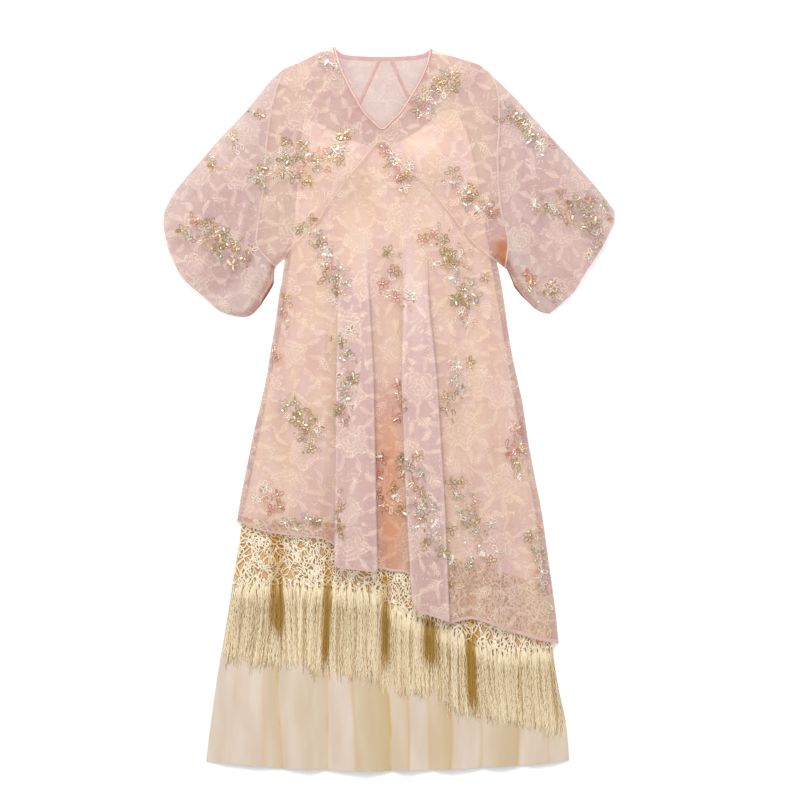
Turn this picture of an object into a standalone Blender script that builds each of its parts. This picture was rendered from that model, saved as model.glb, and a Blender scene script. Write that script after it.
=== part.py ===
"""Two-piece dress set laid flat, front up: a sheer over-dress with two deep flutes, and a slip
with a net header, a long fringe and an underskirt. Tables are in millimetres, +Y to the neck."""
import math

import bpy
from mathutils import Vector

MM = 0.001
CLOTH = 1.0
GAP = 0.3
LAYER = CLOTH + GAP
SEAM_INSET = GAP / 2

# Over-dress outline: (y, x) down each side from the underarm
BODY_LEFT = [(271, -189), (236, -192), (215, -198), (159, -204), (118, -212), (52, -222),
             (-49, -246), (-106, -257), (-160, -268), (-202, -274.5)]
BODY_RIGHT = [(266, 193), (227, 201), (182, 208), (144, 213), (105, 219), (55, 229.5),
              (20, 238), (-61, 250), (-130, 263), (-187, 274.5), (-272, 286), (-373, 300),
              (-421, 304)]
# Front hem and back hem: (x, y)
HEM_FRONT = [(-274.5, -202), (-226, -221), (-184, -226), (-150, -230), (-109, -235),
             (-100, -262), (-80, -283), (-42, -293), (-19, -286), (-3, -291), (26, -293),
             (36, -318), (55, -362), (84, -381), (109, -388), (125, -374), (165, -383),
             (199, -398), (237, -410), (274, -421), (304, -421)]
HEM_BACK = [(-274.5, -202), (-184, -222), (-109, -232), (-3, -285), (55, -330), (130, -372),
            (199, -396), (304, -419)]
# Inverted-V seam of the front: (x, y) from one underarm over the apex to the other
SEAM_FRONT = [(-189, 271), (-181, 286), (-131, 336), (-115, 361), (-85, 400), (-62, 430),
              (-26, 475), (-14.5, 482), (-1, 475), (22, 441), (68, 400), (110, 351),
              (129, 326), (161, 290), (193, 266)]
SEAM_BACK_RIGHT = [(4.5, 627), (33, 563), (90, 470), (148, 360), (193, 266)]
SEAM_BACK_LEFT = [(-19, 627), (-52, 554), (-98, 465), (-150, 362), (-189, 271)]
# Neck: (x, y) from the shoulder down to the point of the V
V_LEFT = [(-99.9, 651.6), (-87, 610), (-69, 572), (-46, 533), (-28, 515), (-12.6, 503)]
V_RIGHT = [(74.7, 648.9), (68, 620), (57, 593), (41, 565), (22, 535), (4, 517), (-12.6, 503)]
APEX = (-14.5, 482)
BACK_NECK = [(-97, 648), (-84, 639), (-60, 635.4), (-11.7, 634), (36.4, 635.4), (59, 639),
             (72, 646)]
BACK_NECK_SEAM = [(-101, 641), (-86, 632), (-61, 628.4), (-19, 627), (4.5, 627), (37, 628.4),
                  (61, 632), (77, 639.5)]
# Shoulder, armhole and gusset lines: (x, y)
SHOULDER_LEFT = [(-99.9, 651.6), (-116, 647), (-142, 634), (-165, 623), (-190, 613)]
SHOULDER_RIGHT = [(74.7, 648.9), (107, 637), (139, 627.5), (162, 620), (177.3, 608)]
ARM_LEFT = [(-190, 613), (-211, 547), (-222, 466), (-227, 394), (-238, 322)]
ARM_RIGHT = [(177.3, 608), (194, 572), (197, 502), (194, 457), (199, 367)]
ARM_LOW_LEFT = [(-238, 322), (-236, 290), (-205, 256)]
ARM_LOW_RIGHT = [(199, 367), (213, 304), (208, 254)]
GUSSET_TOP_LEFT = [(-131, 336), (-160, 334), (-196, 330), (-238, 322)]
GUSSET_TOP_RIGHT = [(129, 326), (153, 337), (170, 351), (199, 367)]
# Sleeve edges: (x, y)
SLEEVE_TOP_LEFT = [(-190, 613), (-210, 596), (-238.5, 560), (-265, 528.5), (-310, 482),
                   (-353, 431), (-384, 397), (-406, 353)]
SLEEVE_LOW_LEFT = [(-205, 256), (-207, 221), (-218, 203), (-237, 174), (-260, 165),
                   (-277, 167), (-290, 170)]
CUFF_LEFT = [(-406, 353), (-407, 330), (-400, 294.5), (-384, 256), (-374, 238), (-355, 219),
             (-332, 200), (-310, 179), (-290, 170)]
SLEEVE_TOP_RIGHT = [(177.3, 608), (192, 594), (235, 551), (259, 524), (308, 471), (336, 440),
                    (377, 394), (405.5, 356)]
SLEEVE_LOW_RIGHT = [(208, 254), (218, 232), (224, 216), (240, 197), (259, 182), (275, 174),
                    (288, 171.5)]
CUFF_RIGHT = [(405.5, 356), (407, 346), (402, 330), (385, 294.5), (355.5, 249.5), (333, 212),
              (309, 189), (288, 171.5)]
# Slip and underskirt edges: (y, x); their neckline, slanted seam and hem: (x, y)
UNDER_LEFT = [(525, -152), (477, -161), (441, -159), (409, -165), (330, -172), (271, -178),
              (159, -193), (31, -218), (-106, -246), (-200, -265), (-265, -273), (-315, -282),
              (-398, -295), (-506, -314), (-634, -330)]
UNDER_RIGHT = [(541, 118), (533, 130), (475, 145), (423, 157), (396, 161), (330, 172),
               (266, 182), (182, 197), (55, 218), (-61, 239), (-187, 263), (-272, 275),
               (-373, 287), (-428, 292), (-500, 303), (-568, 318), (-630, 323)]
SLIP_NECK = [(-152, 525), (-125, 512), (-60, 480), (-8, 466), (50, 500), (95, 535), (118, 541)]
SLIP_HEM = [(-265, -195), (-100, -205), (60, -250), (280, -318)]
NET_BOTTOM = [(-290, -317), (-160, -317), (-80, -320), (-19, -329), (13, -370), (60, -378),
              (109, -401), (193, -441), (300, -430)]
FRINGE_END = [(-301, -436), (-233, -452), (-161, -450), (-107, -470), (-26, -476), (19, -503),
              (73, -500), (118, -536), (199, -549), (253, -562), (310, -586)]
SKIRT_HEM = [(-330, -634), (-192, -646), (-35, -651.6), (111, -648), (235, -641), (323, -632)]
# Folds of slip and underskirt: x at the slanted seam, x at the hem, height of the line
FOLDS = [(-265, -330, 0), (-243, -288, 5), (-222, -238, 6), (-202, -192, 1.5), (-180, -168, 6),
         (-155, -145, 8), (-130, -130, 6), (-107, -116, 1.5), (-84, -82, 6), (-60, -42, 9),
         (-30, -18, 6), (-3, 6, 1.5), (16, 22, 6), (35, 37, 8), (54, 58, 5), (72, 79, 2),
         (92, 96, 6), (110, 112, 8), (133, 140, 6), (156, 168, 2), (178, 186, 6),
         (196, 204, 7), (212, 220, 5), (226, 236, 2), (240, 262, 6), (253, 290, 5),
         (266, 323, 0)]
FOLD_TOP_Y, FOLD_FULL_Y, FOLD_HEM_Y = 150, -200, -650
# Cups of the slip: x, y, radius, rise
CUPS = [(-82, 430, 78, 13), (66, 440, 76, 13)]
# Flutes: y, centre x, half width of the plateau, growth
FLUTE_LEFT = [(340, -64, 30, 0), (270, -64, 31, 0.35), (180, -64, 32, 0.85), (60, -62, 35, 1),
              (-290, -60, 40, 1)]
FLUTE_RIGHT = [(340, 46, 26, 0), (270, 46, 26, 0.3), (180, 48, 28, 0.75), (60, 53, 33, 1),
               (-160, 64, 36, 1), (-380, 75, 34, 1)]
FLUTE_RISE = 17
# Section of a flute: distance across in half widths, share of the rise
FLUTE_SECTION = [(-0.80, 0.0), (-0.85, 0.22), (-0.98, 0.52), (-0.90, 0.86), (-0.62, 1.0),
                 (-0.20, 0.96), (0.20, 0.95), (0.62, 1.0), (0.90, 0.86), (0.98, 0.52),
                 (0.85, 0.22), (0.80, 0.0)]
FLAT_HALF = 1.1
# Soft ridges of the over-dress: x, y at the top, x, y below, half width, rise
RIDGES = [(-140, 230, -185, -215, 34, 6), (-205, 60, -240, -190, 22, 4),
          (150, 190, 188, -370, 34, 7), (205, 120, 262, -400, 24, 5),
          (112, 300, 128, -330, 20, 3), (-120, 330, -122, 60, 20, 3)]
# Slow unevenness of the over-dress
UNEVEN = 1.6
CLEAR = 7.5
EDGE_FADE = 14.0
SHOULDER_FADE = 30.0

PINK = (0.76, 0.56, 0.60)
PEACH = (0.80, 0.56, 0.38)
CREAM = (0.76, 0.64, 0.47)
BEIGE = (0.74, 0.62, 0.50)
ROSE = (0.62, 0.32, 0.42)


def clamp(t):
    return max(0.0, min(1.0, t))


def smooth(t):
    t = clamp(t)
    return t * t * (3 - 2 * t)


def lerp(a, b, t):
    return a + (b - a) * t


def along(table, key, column=1):
    """Value of a column of the table at the key, straight between its rows."""
    rows = table if table[0][0] < table[-1][0] else table[::-1]
    if key <= rows[0][0]:
        return rows[0][column]
    for a, b in zip(rows, rows[1:]):
        if key <= b[0]:
            return lerp(a[column], b[column], (key - a[0]) / (b[0] - a[0]))
    return rows[-1][column]


def spread(path, cells):
    """Points at even steps along a path."""
    lengths = [math.dist(a, b) for a, b in zip(path, path[1:])]
    total, out = sum(lengths), []
    for n in range(cells + 1):
        goal, k = total * n / cells, 0
        while k < len(lengths) - 1 and goal > lengths[k]:
            goal -= lengths[k]
            k += 1
        t = clamp(goal / lengths[k])
        out.append((lerp(path[k][0], path[k + 1][0], t), lerp(path[k][1], path[k + 1][1], t)))
    return out


def distance(point, path):
    """Shortest distance from a point to a path."""
    best = 1e9
    for a, b in zip(path, path[1:]):
        dx, dy = b[0] - a[0], b[1] - a[1]
        t = clamp(((point[0] - a[0]) * dx + (point[1] - a[1]) * dy) / (dx * dx + dy * dy))
        best = min(best, math.dist(point, (a[0] + t * dx, a[1] + t * dy)))
    return best


def patch(top, bottom, left, right):
    """Grid of points between four edges: rows run from top to bottom."""
    rows, cols = len(left) - 1, len(top) - 1
    grid = []
    for i in range(rows + 1):
        v, row = i / rows, []
        for j in range(cols + 1):
            u = j / cols
            row.append(tuple(
                lerp(top[j][k], bottom[j][k], v) + lerp(left[i][k], right[i][k], u)
                - lerp(lerp(top[0][k], top[-1][k], u), lerp(bottom[0][k], bottom[-1][k], u), v)
                for k in (0, 1)))
        grid.append(row)
    return grid


def pulled_in(loop, amount):
    """The loop moved inward by the amount, the same on all sides."""
    area = sum(a[0] * b[1] - b[0] * a[1] for a, b in zip(loop, loop[1:] + loop[:1]))
    turn = 1 if area > 0 else -1
    out = []
    for k, p in enumerate(loop):
        a, b = loop[k - 1], loop[(k + 1) % len(loop)]
        n1 = Vector((-(p[1] - a[1]), p[0] - a[0])).normalized() * turn
        n2 = Vector((-(b[1] - p[1]), b[0] - p[0])).normalized() * turn
        mid = (n1 + n2).normalized()
        reach = amount / max(0.35, mid.dot(n1))
        out.append((p[0] + mid.x * reach, p[1] + mid.y * reach))
    return out


def pulled_grid(grid, amount=SEAM_INSET):
    """The grid with its outer points moved inward."""
    rows, cols = len(grid) - 1, len(grid[0]) - 1
    rim = [(0, j) for j in range(cols)] + [(i, cols) for i in range(rows)]
    rim += [(rows, j) for j in range(cols, 0, -1)] + [(i, 0) for i in range(rows, 0, -1)]
    moved = pulled_in([grid[i][j] for i, j in rim], amount)
    out = [list(row) for row in grid]
    for (i, j), p in zip(rim, moved):
        out[i][j] = p
    return out


def step(x, y):
    """Height of the slip's back: it steps up over the over-dress's hem."""
    return LAYER * clamp((y - along(HEM_BACK, x) + 30) / 24)


def fold_lines(y):
    """Where each fold line lies at this y."""
    t = clamp((FOLD_FULL_Y - y) / (FOLD_FULL_Y - FOLD_HEM_Y))
    left, right = along(UNDER_LEFT, y), along(UNDER_RIGHT, y)
    out = []
    for top, hem, rise in FOLDS:
        high = (top - FOLDS[0][0]) / (FOLDS[-1][0] - FOLDS[0][0])
        low = (hem - FOLDS[0][1]) / (FOLDS[-1][1] - FOLDS[0][1])
        out.append((left + (right - left) * lerp(high, low, t), rise))
    return out


def under(x, y):
    """Lower face of the slip's front and of the underskirt's front."""
    rise = along(fold_lines(y), x) * clamp((FOLD_TOP_Y - y) / (FOLD_TOP_Y - FOLD_FULL_Y))
    for cx, cy, radius, cup in CUPS:
        r = math.dist((x, y), (cx, cy)) / radius
        if r < 1:
            rise += cup * math.cos(r * math.pi / 2) ** 2
    return step(x, y) + LAYER + rise


SIDES = [[(-237, 174), (-218, 203), (-205, 256)] + [(x, y) for y, x in BODY_LEFT],
         [(259, 182), (224, 216), (208, 254)] + [(x, y) for y, x in BODY_RIGHT]]


def front(x, y):
    """Lower face of the over-dress's front."""
    rise = UNEVEN * math.sin(x / 23 + y / 41) * math.sin(y / 37 - x / 53)
    for x0, y0, x1, y1, half, top in RIDGES:
        t = clamp((y0 - y) / (y0 - y1))
        d = abs(x - lerp(x0, x1, t)) / half
        grown = smooth((y0 - y) / 120)
        if d < 1:
            rise += top * grown * math.cos(d * math.pi / 2) ** 2
    side = min(distance((x, y), SIDES[0]), distance((x, y), SIDES[1]))
    above = min(distance((x, y), SHOULDER_LEFT), distance((x, y), SHOULDER_RIGHT))
    fade = smooth(side / EDGE_FADE) * smooth(above / SHOULDER_FADE)
    return LAYER + (under(x, y) + CLEAR + rise - LAYER) * fade


def material(name, colour, rough):
    mat = bpy.data.materials.new(name)
    mat.use_nodes = True
    shader = mat.node_tree.nodes["Principled BSDF"]
    shader.inputs["Base Color"].default_value = (*colour, 1)
    shader.inputs["Roughness"].default_value = rough
    shader.inputs["Metallic"].default_value = 0.0
    mat.diffuse_color = (*colour, 1)
    return mat


def solid(name, points, faces, mat):
    """One closed body in triangles and flat outlines, its faces turned outward."""
    halves = []
    for face in faces:
        if len(face) == 4:
            a, b, c, d = face
            halves += [(a, b, c), (a, c, d)]
        else:
            halves.append(face)
    mesh = bpy.data.meshes.new(name)
    mesh.from_pydata([tuple(c * MM for c in p) for p in points], [], halves)
    mesh.validate()
    volume = 0.0
    for poly in mesh.polygons:
        corner = [mesh.vertices[k].co for k in poly.vertices]
        for b, c in zip(corner[1:], corner[2:]):
            volume += corner[0].dot(b.cross(c))
    if volume < 0:
        mesh.flip_normals()
    obj = bpy.data.objects.new(name, mesh)
    dress.objects.link(obj)
    mesh.materials.append(mat)
    return obj


def wall(name, low, high, mat):
    """A closed wall between two grids of 3-D points; cells are split the shorter way."""
    rows, cols = len(low), len(low[0])
    points = [p for row in low for p in row] + [p for row in high for p in row]
    half, faces = rows * cols, []
    for i in range(rows - 1):
        for j in range(cols - 1):
            a, b = i * cols + j, (i + 1) * cols + j
            cell = [a, a + 1, b + 1, b]
            if math.dist(points[a], points[b + 1]) > math.dist(points[a + 1], points[b]):
                cell = [a + 1, b + 1, b, a]
            faces.append(tuple(cell))
            faces.append(tuple(half + cell[k] for k in (0, 3, 2, 1)))
    rim = [j for j in range(cols)] + [i * cols + cols - 1 for i in range(1, rows)]
    rim += [(rows - 1) * cols + j for j in range(cols - 2, -1, -1)]
    rim += [i * cols for i in range(rows - 2, 0, -1)]
    for a, b in zip(rim, rim[1:] + rim[:1]):
        faces.append((b, a, half + a, half + b))
    return solid(name, points, faces, mat)


def draped(name, grid, height, mat, thick=CLOTH):
    """A wall whose lower face lies at the given height over a plan grid."""
    low = [[(x, y, height(x, y)) for x, y in row] for row in grid]
    high = [[(x, y, z + thick) for x, y, z in row] for row in low]
    return wall(name, low, high, mat)


def slab(name, outline, base, mat, thick=CLOTH):
    """A flat piece of cloth cut to an outline."""
    loop = pulled_in(outline, SEAM_INSET)
    count = len(loop)
    points = [(x, y, base) for x, y in loop] + [(x, y, base + thick) for x, y in loop]
    faces = [tuple(range(count)), tuple(range(2 * count - 1, count - 1, -1))]
    for k in range(count):
        n = (k + 1) % count
        faces.append((n, k, count + k, count + n))
    return solid(name, points, faces, mat)


def flute_points(table, y):
    """Across, flat x and rise of each point of a flute's section at this y."""
    centre, half, grown = (along(table, y, c) for c in (1, 2, 3))
    last = len(FLUTE_SECTION) - 1
    out = []
    for n, (across, rise) in enumerate(FLUTE_SECTION):
        flat = lerp(-FLAT_HALF, FLAT_HALF, n / last)
        out.append((centre + half * lerp(flat, across, grown), centre + half * flat,
                    rise * grown * FLUTE_RISE))
    return out


def shares(a, b, cells):
    """Evenly spaced values after a, up to b."""
    return [lerp(a, b, n / cells) for n in range(1, cells + 1)]


GUSSET_CELLS, SIDE_CELLS, MID_CELLS = 4, 2, 3


def front_columns(y, left, right):
    """Each column of the front panel at this y: x, flat x and rise."""
    lf, rf = flute_points(FLUTE_LEFT, y), flute_points(FLUTE_RIGHT, y)
    gl, gr = lerp(left, lf[0][0], 61 / 88), lerp(right, rf[-1][0], 64 / 118)
    out = [(left, left, 0)]
    out += [(x, x, 0) for x in shares(left, gl, GUSSET_CELLS)]
    out += [(x, x, 0) for x in shares(gl, lf[0][0], SIDE_CELLS)[:-1]]
    out += lf
    mid = lerp(lf[-1][0], rf[0][0], 0.2)
    out += [(mid, mid, 0)]
    out += [(x, x, 0) for x in shares(mid, rf[0][0], MID_CELLS)[:-1]]
    out += rf
    out += [(x, x, 0) for x in shares(rf[-1][0], gr, SIDE_CELLS)]
    out += [(x, x, 0) for x in shares(gr, right, GUSSET_CELLS)]
    return out


def seam_points():
    """Points of the inverted-V seam under each column of the front panel."""
    top = []
    columns = front_columns(340, SEAM_FRONT[0][0], SEAM_FRONT[-1][0])
    for n, (x, _, _) in enumerate(columns):
        top.append((x, along(SEAM_FRONT, x)))
    apex = min(range(len(top)), key=lambda k: abs(top[k][0] - APEX[0]))
    top[apex] = APEX
    return top, apex


TOP_ROWS, BODY_ROWS, HEM_ROWS = 5, 5, 6
BODY_Y, LOW_Y = 190, -60


def front_panel():
    """Over-dress front from the seam to the hem, with both flutes."""
    top, _ = seam_points()
    hem_columns = front_columns(-250, -275, 285)
    rows = []
    for i in range(TOP_ROWS + BODY_ROWS + HEM_ROWS + 1):
        row = []
        for j, (sx, sy) in enumerate(top):
            if i <= TOP_ROWS:
                t = i / TOP_ROWS
                y = lerp(sy, BODY_Y, t)
                edge = [along(BODY_LEFT, lerp(271, BODY_Y, t)),
                        along(BODY_RIGHT, lerp(266, BODY_Y, t))]
                column = front_columns(min(y, 340), edge[0], edge[1])[j]
                x = lerp(sx, column[0], smooth(t * 1.5)) if 0 < j < len(top) - 1 else column[0]
                rise = column[2] * smooth(t * 1.5)
            else:
                if i <= TOP_ROWS + BODY_ROWS:
                    y = lerp(BODY_Y, LOW_Y, (i - TOP_ROWS) / BODY_ROWS)
                else:
                    hem = along(HEM_FRONT, hem_columns[j][1])
                    if j in (0, len(top) - 1):
                        hem = HEM_FRONT[0][1] if j == 0 else HEM_FRONT[-1][1]
                    y = lerp(LOW_Y, hem, (i - TOP_ROWS - BODY_ROWS) / HEM_ROWS)
                column = front_columns(y, along(BODY_LEFT, y), along(BODY_RIGHT, y))[j]
                x, rise = column[0], column[2]
            row.append((x, y, rise))
        rows.append(row)
    plan = pulled_grid([[(x, y) for x, y, _ in row] for row in rows])
    plan[-1] = [(p[0], p[1]) for p in rows[-1]]
    low = [[Vector((x, y, front(x, y) + rows[i][j][2])) for j, (x, y) in enumerate(row)]
           for i, row in enumerate(plan)]
    last_i, last_j = len(low) - 1, len(low[0]) - 1
    high = []
    for i in range(last_i + 1):
        row = []
        for j in range(last_j + 1):
            if i == 0 or j in (0, last_j):
                out = Vector((0, 0, 1))
            else:
                across = low[i][j + 1] - low[i][j - 1]
                down = low[min(i + 1, last_i)][j] - low[i - 1][j]
                if i == last_i:
                    down = Vector((0, -1, 0))
                out = down.cross(across).normalized()
                if out.z < 0 and rows[i][j][2] == 0:
                    out = -out
            row.append(tuple(low[i][j] + out * CLOTH))
        high.append(row)
    return wall("overdress_front_panel", [[tuple(p) for p in row] for row in low], high, pink)


ARM_CELLS, SHOULDER_ROWS = 7, 7


def yoke_and_gusset(side):
    """Front yoke and gusset of one side; their edges are the seam's own points."""
    top, apex = seam_points()
    right = side == "right"
    corner = len(top) - 1 - GUSSET_CELLS if right else GUSSET_CELLS
    inner = top[apex:corner + 1] if right else top[apex:corner - 1:-1]
    outer = top[corner:] if right else top[corner::-1]
    gusset_top = GUSSET_TOP_RIGHT if right else GUSSET_TOP_LEFT
    ledge = spread([inner[-1]] + gusset_top[1:], 3)
    neck = spread(V_RIGHT if right else V_LEFT, SHOULDER_ROWS - 1) + [APEX]
    arm = spread(ARM_RIGHT if right else ARM_LEFT, ARM_CELLS)
    low = inner + ledge[1:]
    shoulder = spread(SHOULDER_RIGHT if right else SHOULDER_LEFT, len(low) - 1)
    draped(f"yoke_front_{side}", pulled_grid(patch(shoulder, low, neck, arm)), front, pink)
    arm_low = spread(ARM_LOW_RIGHT if right else ARM_LOW_LEFT, GUSSET_CELLS)
    under_edge = spread([outer[-1], arm_low[-1]], 3)
    draped(f"gusset_{side}", pulled_grid(patch(ledge, under_edge, outer, arm_low)), front, pink)
    return neck[:-1], arm + arm_low[1:]


SLEEVE_CELLS = 9
EDGE_ROUND = 1.6
PUFF = 20


def sleeve(side, arm):
    """A flattened tube: flat under, puffed above, open at the armhole and at the cuff."""
    right = side == "right"
    upper = spread(SLEEVE_TOP_RIGHT if right else SLEEVE_TOP_LEFT, SLEEVE_CELLS)
    lower = spread(SLEEVE_LOW_RIGHT if right else SLEEVE_LOW_LEFT, SLEEVE_CELLS)
    cuff = spread(CUFF_RIGHT if right else CUFF_LEFT, len(arm) - 1)
    grid = pulled_grid(patch(arm, cuff, upper, lower))
    last = len(arm) - 1
    outer, inner = [], []
    for i, row in enumerate(grid):
        u = i / SLEEVE_CELLS
        ends = []
        for p, q in ((row[0], row[1]), (row[-1], row[-2])):
            away = Vector((q[0] - p[0], q[1] - p[1])).normalized()
            ends.append([(p[0] + away.x * d, p[1] + away.y * d)
                         for d in (0, EDGE_ROUND, CLOTH, EDGE_ROUND + 0.6 * CLOTH)])
        top, base = [], []
        for j in range(1, last):
            v = j / last
            x, y = row[j]
            puff = PUFF * math.sin(math.pi * v) ** 0.8 * (0.35 + 0.65 * math.sin(
                math.pi * clamp(u * 0.8 + 0.1)))
            puff += 2.6 * math.cos(v * 19 + u * 2) * smooth(u * 2) * math.sin(math.pi * v)
            start = front(*arm[j]) + CLOTH
            z = lerp(start, 2 * EDGE_ROUND + puff, smooth(u * 2.2))
            top.append((x, y, max(z, 2 * EDGE_ROUND)))
            base.append((x, y, 0))
        (a0, a1, a2, a3), (b0, b1, b2, b3) = ends
        high, low = 2 * EDGE_ROUND, 0
        outer.append([(*a0, EDGE_ROUND), (*a1, high)] + top + [(*b1, high), (*b0, EDGE_ROUND),
                     (*b1, low)] + base[::-1] + [(*a1, low)])
        inner.append([(*a2, EDGE_ROUND), (*a3, high - CLOTH)]
                     + [(x, y, z - CLOTH) for x, y, z in top]
                     + [(*b3, high - CLOTH), (*b2, EDGE_ROUND), (*b3, CLOTH)]
                     + [(x, y, CLOTH) for x, y, z in base[::-1]] + [(*a3, CLOTH)])
    ring = len(outer[0])
    points = [p for row in outer for p in row] + [p for row in inner for p in row]
    half, faces = len(outer) * ring, []
    for i in range(len(outer) - 1):
        for j in range(ring):
            n = (j + 1) % ring
            a, b, c, d = i * ring + j, i * ring + n, (i + 1) * ring + n, (i + 1) * ring + j
            faces += [(a, b, c, d), (half + a, half + d, half + c, half + b)]
    for i, flip in ((0, False), (len(outer) - 1, True)):
        for j in range(ring):
            n = (j + 1) % ring
            face = (i * ring + n, i * ring + j, half + i * ring + j, half + i * ring + n)
            faces.append(face[::-1] if flip else face)
    solid(f"sleeve_{side}", points, faces, pink)


PIPING, PIPING_RISE = 2.8, 1.6


def neck_piping(left, right):
    """A narrow raised strip along the front's V, on the side of the opening."""
    path = left + right[-2::-1]
    rows = []
    for reach in (SEAM_INSET, SEAM_INSET + PIPING):
        row = []
        for k, p in enumerate(path):
            a, b = path[max(k - 1, 0)], path[min(k + 1, len(path) - 1)]
            n1 = Vector((-(p[1] - a[1]), p[0] - a[0])) if k else Vector((0, 0))
            n2 = Vector((-(b[1] - p[1]), b[0] - p[0])) if k < len(path) - 1 else Vector((0, 0))
            n1, n2 = n1.normalized(), n2.normalized()
            mid = (n1 + n2).normalized()
            far = reach / max(0.35, mid.dot(n2 if n2.length else n1))
            row.append((p[0] + mid.x * far, p[1] + mid.y * far))
        rows.append(row)
    low = [[(x, y, front(*path[k])) for k, (x, y) in enumerate(row)] for row in rows]
    high = [[(x, y, z + PIPING_RISE) for x, y, z in row] for row in low]
    wall("neck_piping", low, high, rose)


def back_pieces(arms):
    """The over-dress's flat back: panel, yokes and the band at the neck."""
    seam_right, seam_left = spread(SEAM_BACK_RIGHT, 12), spread(SEAM_BACK_LEFT, 12)
    side_right = [(x, y) for y, x in BODY_RIGHT[1:-1]]
    side_left = [(x, y) for y, x in BODY_LEFT[1:-1]]
    outline = seam_right + side_right + HEM_BACK[::-1] + side_left[::-1] + seam_left[::-1]
    slab("overdress_back_panel", outline, 0, pink)
    right = (BACK_NECK_SEAM[4:] + SHOULDER_RIGHT[1:-1] + arms["right"]
             + seam_right[:0:-1])
    slab("yoke_back_right", right, 0, pink)
    left = (BACK_NECK_SEAM[3::-1] + SHOULDER_LEFT[1:-1] + arms["left"] + seam_left[:0:-1])
    slab("yoke_back_left", left, 0, pink)
    slab("neck_band_back", BACK_NECK + BACK_NECK_SEAM[::-1], 0, rose)


def under_rows(column, marks):
    """Points down one fold line at heights y that depend on x."""
    out = []
    for mark in marks:
        x, y = FOLDS[column][0], 0
        for _ in range(6):
            y = mark(x)
            x = fold_lines(y)[column][0]
        out.append((x, y))
    return out


def slip():
    """Slip front along the fold lines, and its plain back."""
    def neck(x):
        return along(SLIP_NECK, x)

    def seam(x):
        return along(SLIP_HEM, x)

    marks = [lambda x, t=t: lerp(neck(x), 330, t) for t in (0, 0.2, 0.4, 0.6, 0.8)]
    marks += [lambda x, t=t: lerp(330, -100, t) for t in (0, 0.2, 0.4, 0.6, 0.8)]
    marks += [lambda x, t=t: lerp(-100, seam(x), t) for t in (0, 0.35, 0.7, 1)]
    columns = [under_rows(k, marks) for k in range(len(FOLDS))]
    grid = [[columns[k][i] for k in range(len(FOLDS))] for i in range(len(marks))]
    draped("slip_front", pulled_grid(grid), under, peach)
    top = [(along(UNDER_LEFT, 430), 430), (along(UNDER_RIGHT, 430), 430)]
    right = [(x, y) for y, x in UNDER_RIGHT if 430 > y > -310]
    left = [(x, y) for y, x in UNDER_LEFT if 430 > y > -195]
    low = [columns[k][-1] for k in range(0, len(FOLDS), 2)]
    slab("slip_back", [top[1]] + right + low[::-1] + left[::-1] + [top[0]], LAYER, peach)
    return low


SKIRT_LEVELS = 5


def underskirt():
    """Underskirt front along the fold lines, and its back on the floor."""
    def hem(x):
        return along(SKIRT_HEM, x)

    marks = [lambda x: along(SLIP_HEM, x),
             lambda x: lerp(along(SLIP_HEM, x), along(HEM_BACK, x) - 6, 0.5),
             lambda x: along(HEM_BACK, x) - 6, lambda x: along(HEM_BACK, x) - 30]
    marks += [lambda x, t=t: lerp(along(HEM_BACK, x) - 30, hem(x), t / SKIRT_LEVELS)
              for t in range(1, SKIRT_LEVELS + 1)]
    columns = [under_rows(k, marks) for k in range(len(FOLDS))]
    grid = [[columns[k][i] for k in range(len(FOLDS))] for i in range(len(marks))]
    draped("underskirt_front", pulled_grid(grid), under, beige)
    grid = [row[::2] for row in grid]
    draped("underskirt_back", pulled_grid(grid), step, beige)


def on_folds(column, y):
    """The x of a place between fold lines, given as a number of lines."""
    lines = fold_lines(y)
    k = min(int(column), len(lines) - 2)
    return lerp(lines[k][0], lines[k + 1][0], column - k)


ON_SKIRT = CLOTH + 1.0
CORD = 1.4
NET_HEAD, NET_LEVELS, NET_HOLE = 0.42, 4, 0.6


def net_point(column, share):
    """A point of the net: along in fold lines, down as a share of its depth."""
    y = -300
    for _ in range(6):
        x = on_folds(column, y)
        y = lerp(along(SLIP_HEM, x) - 2, along(NET_BOTTOM, x), share)
    return (x, y)


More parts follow.
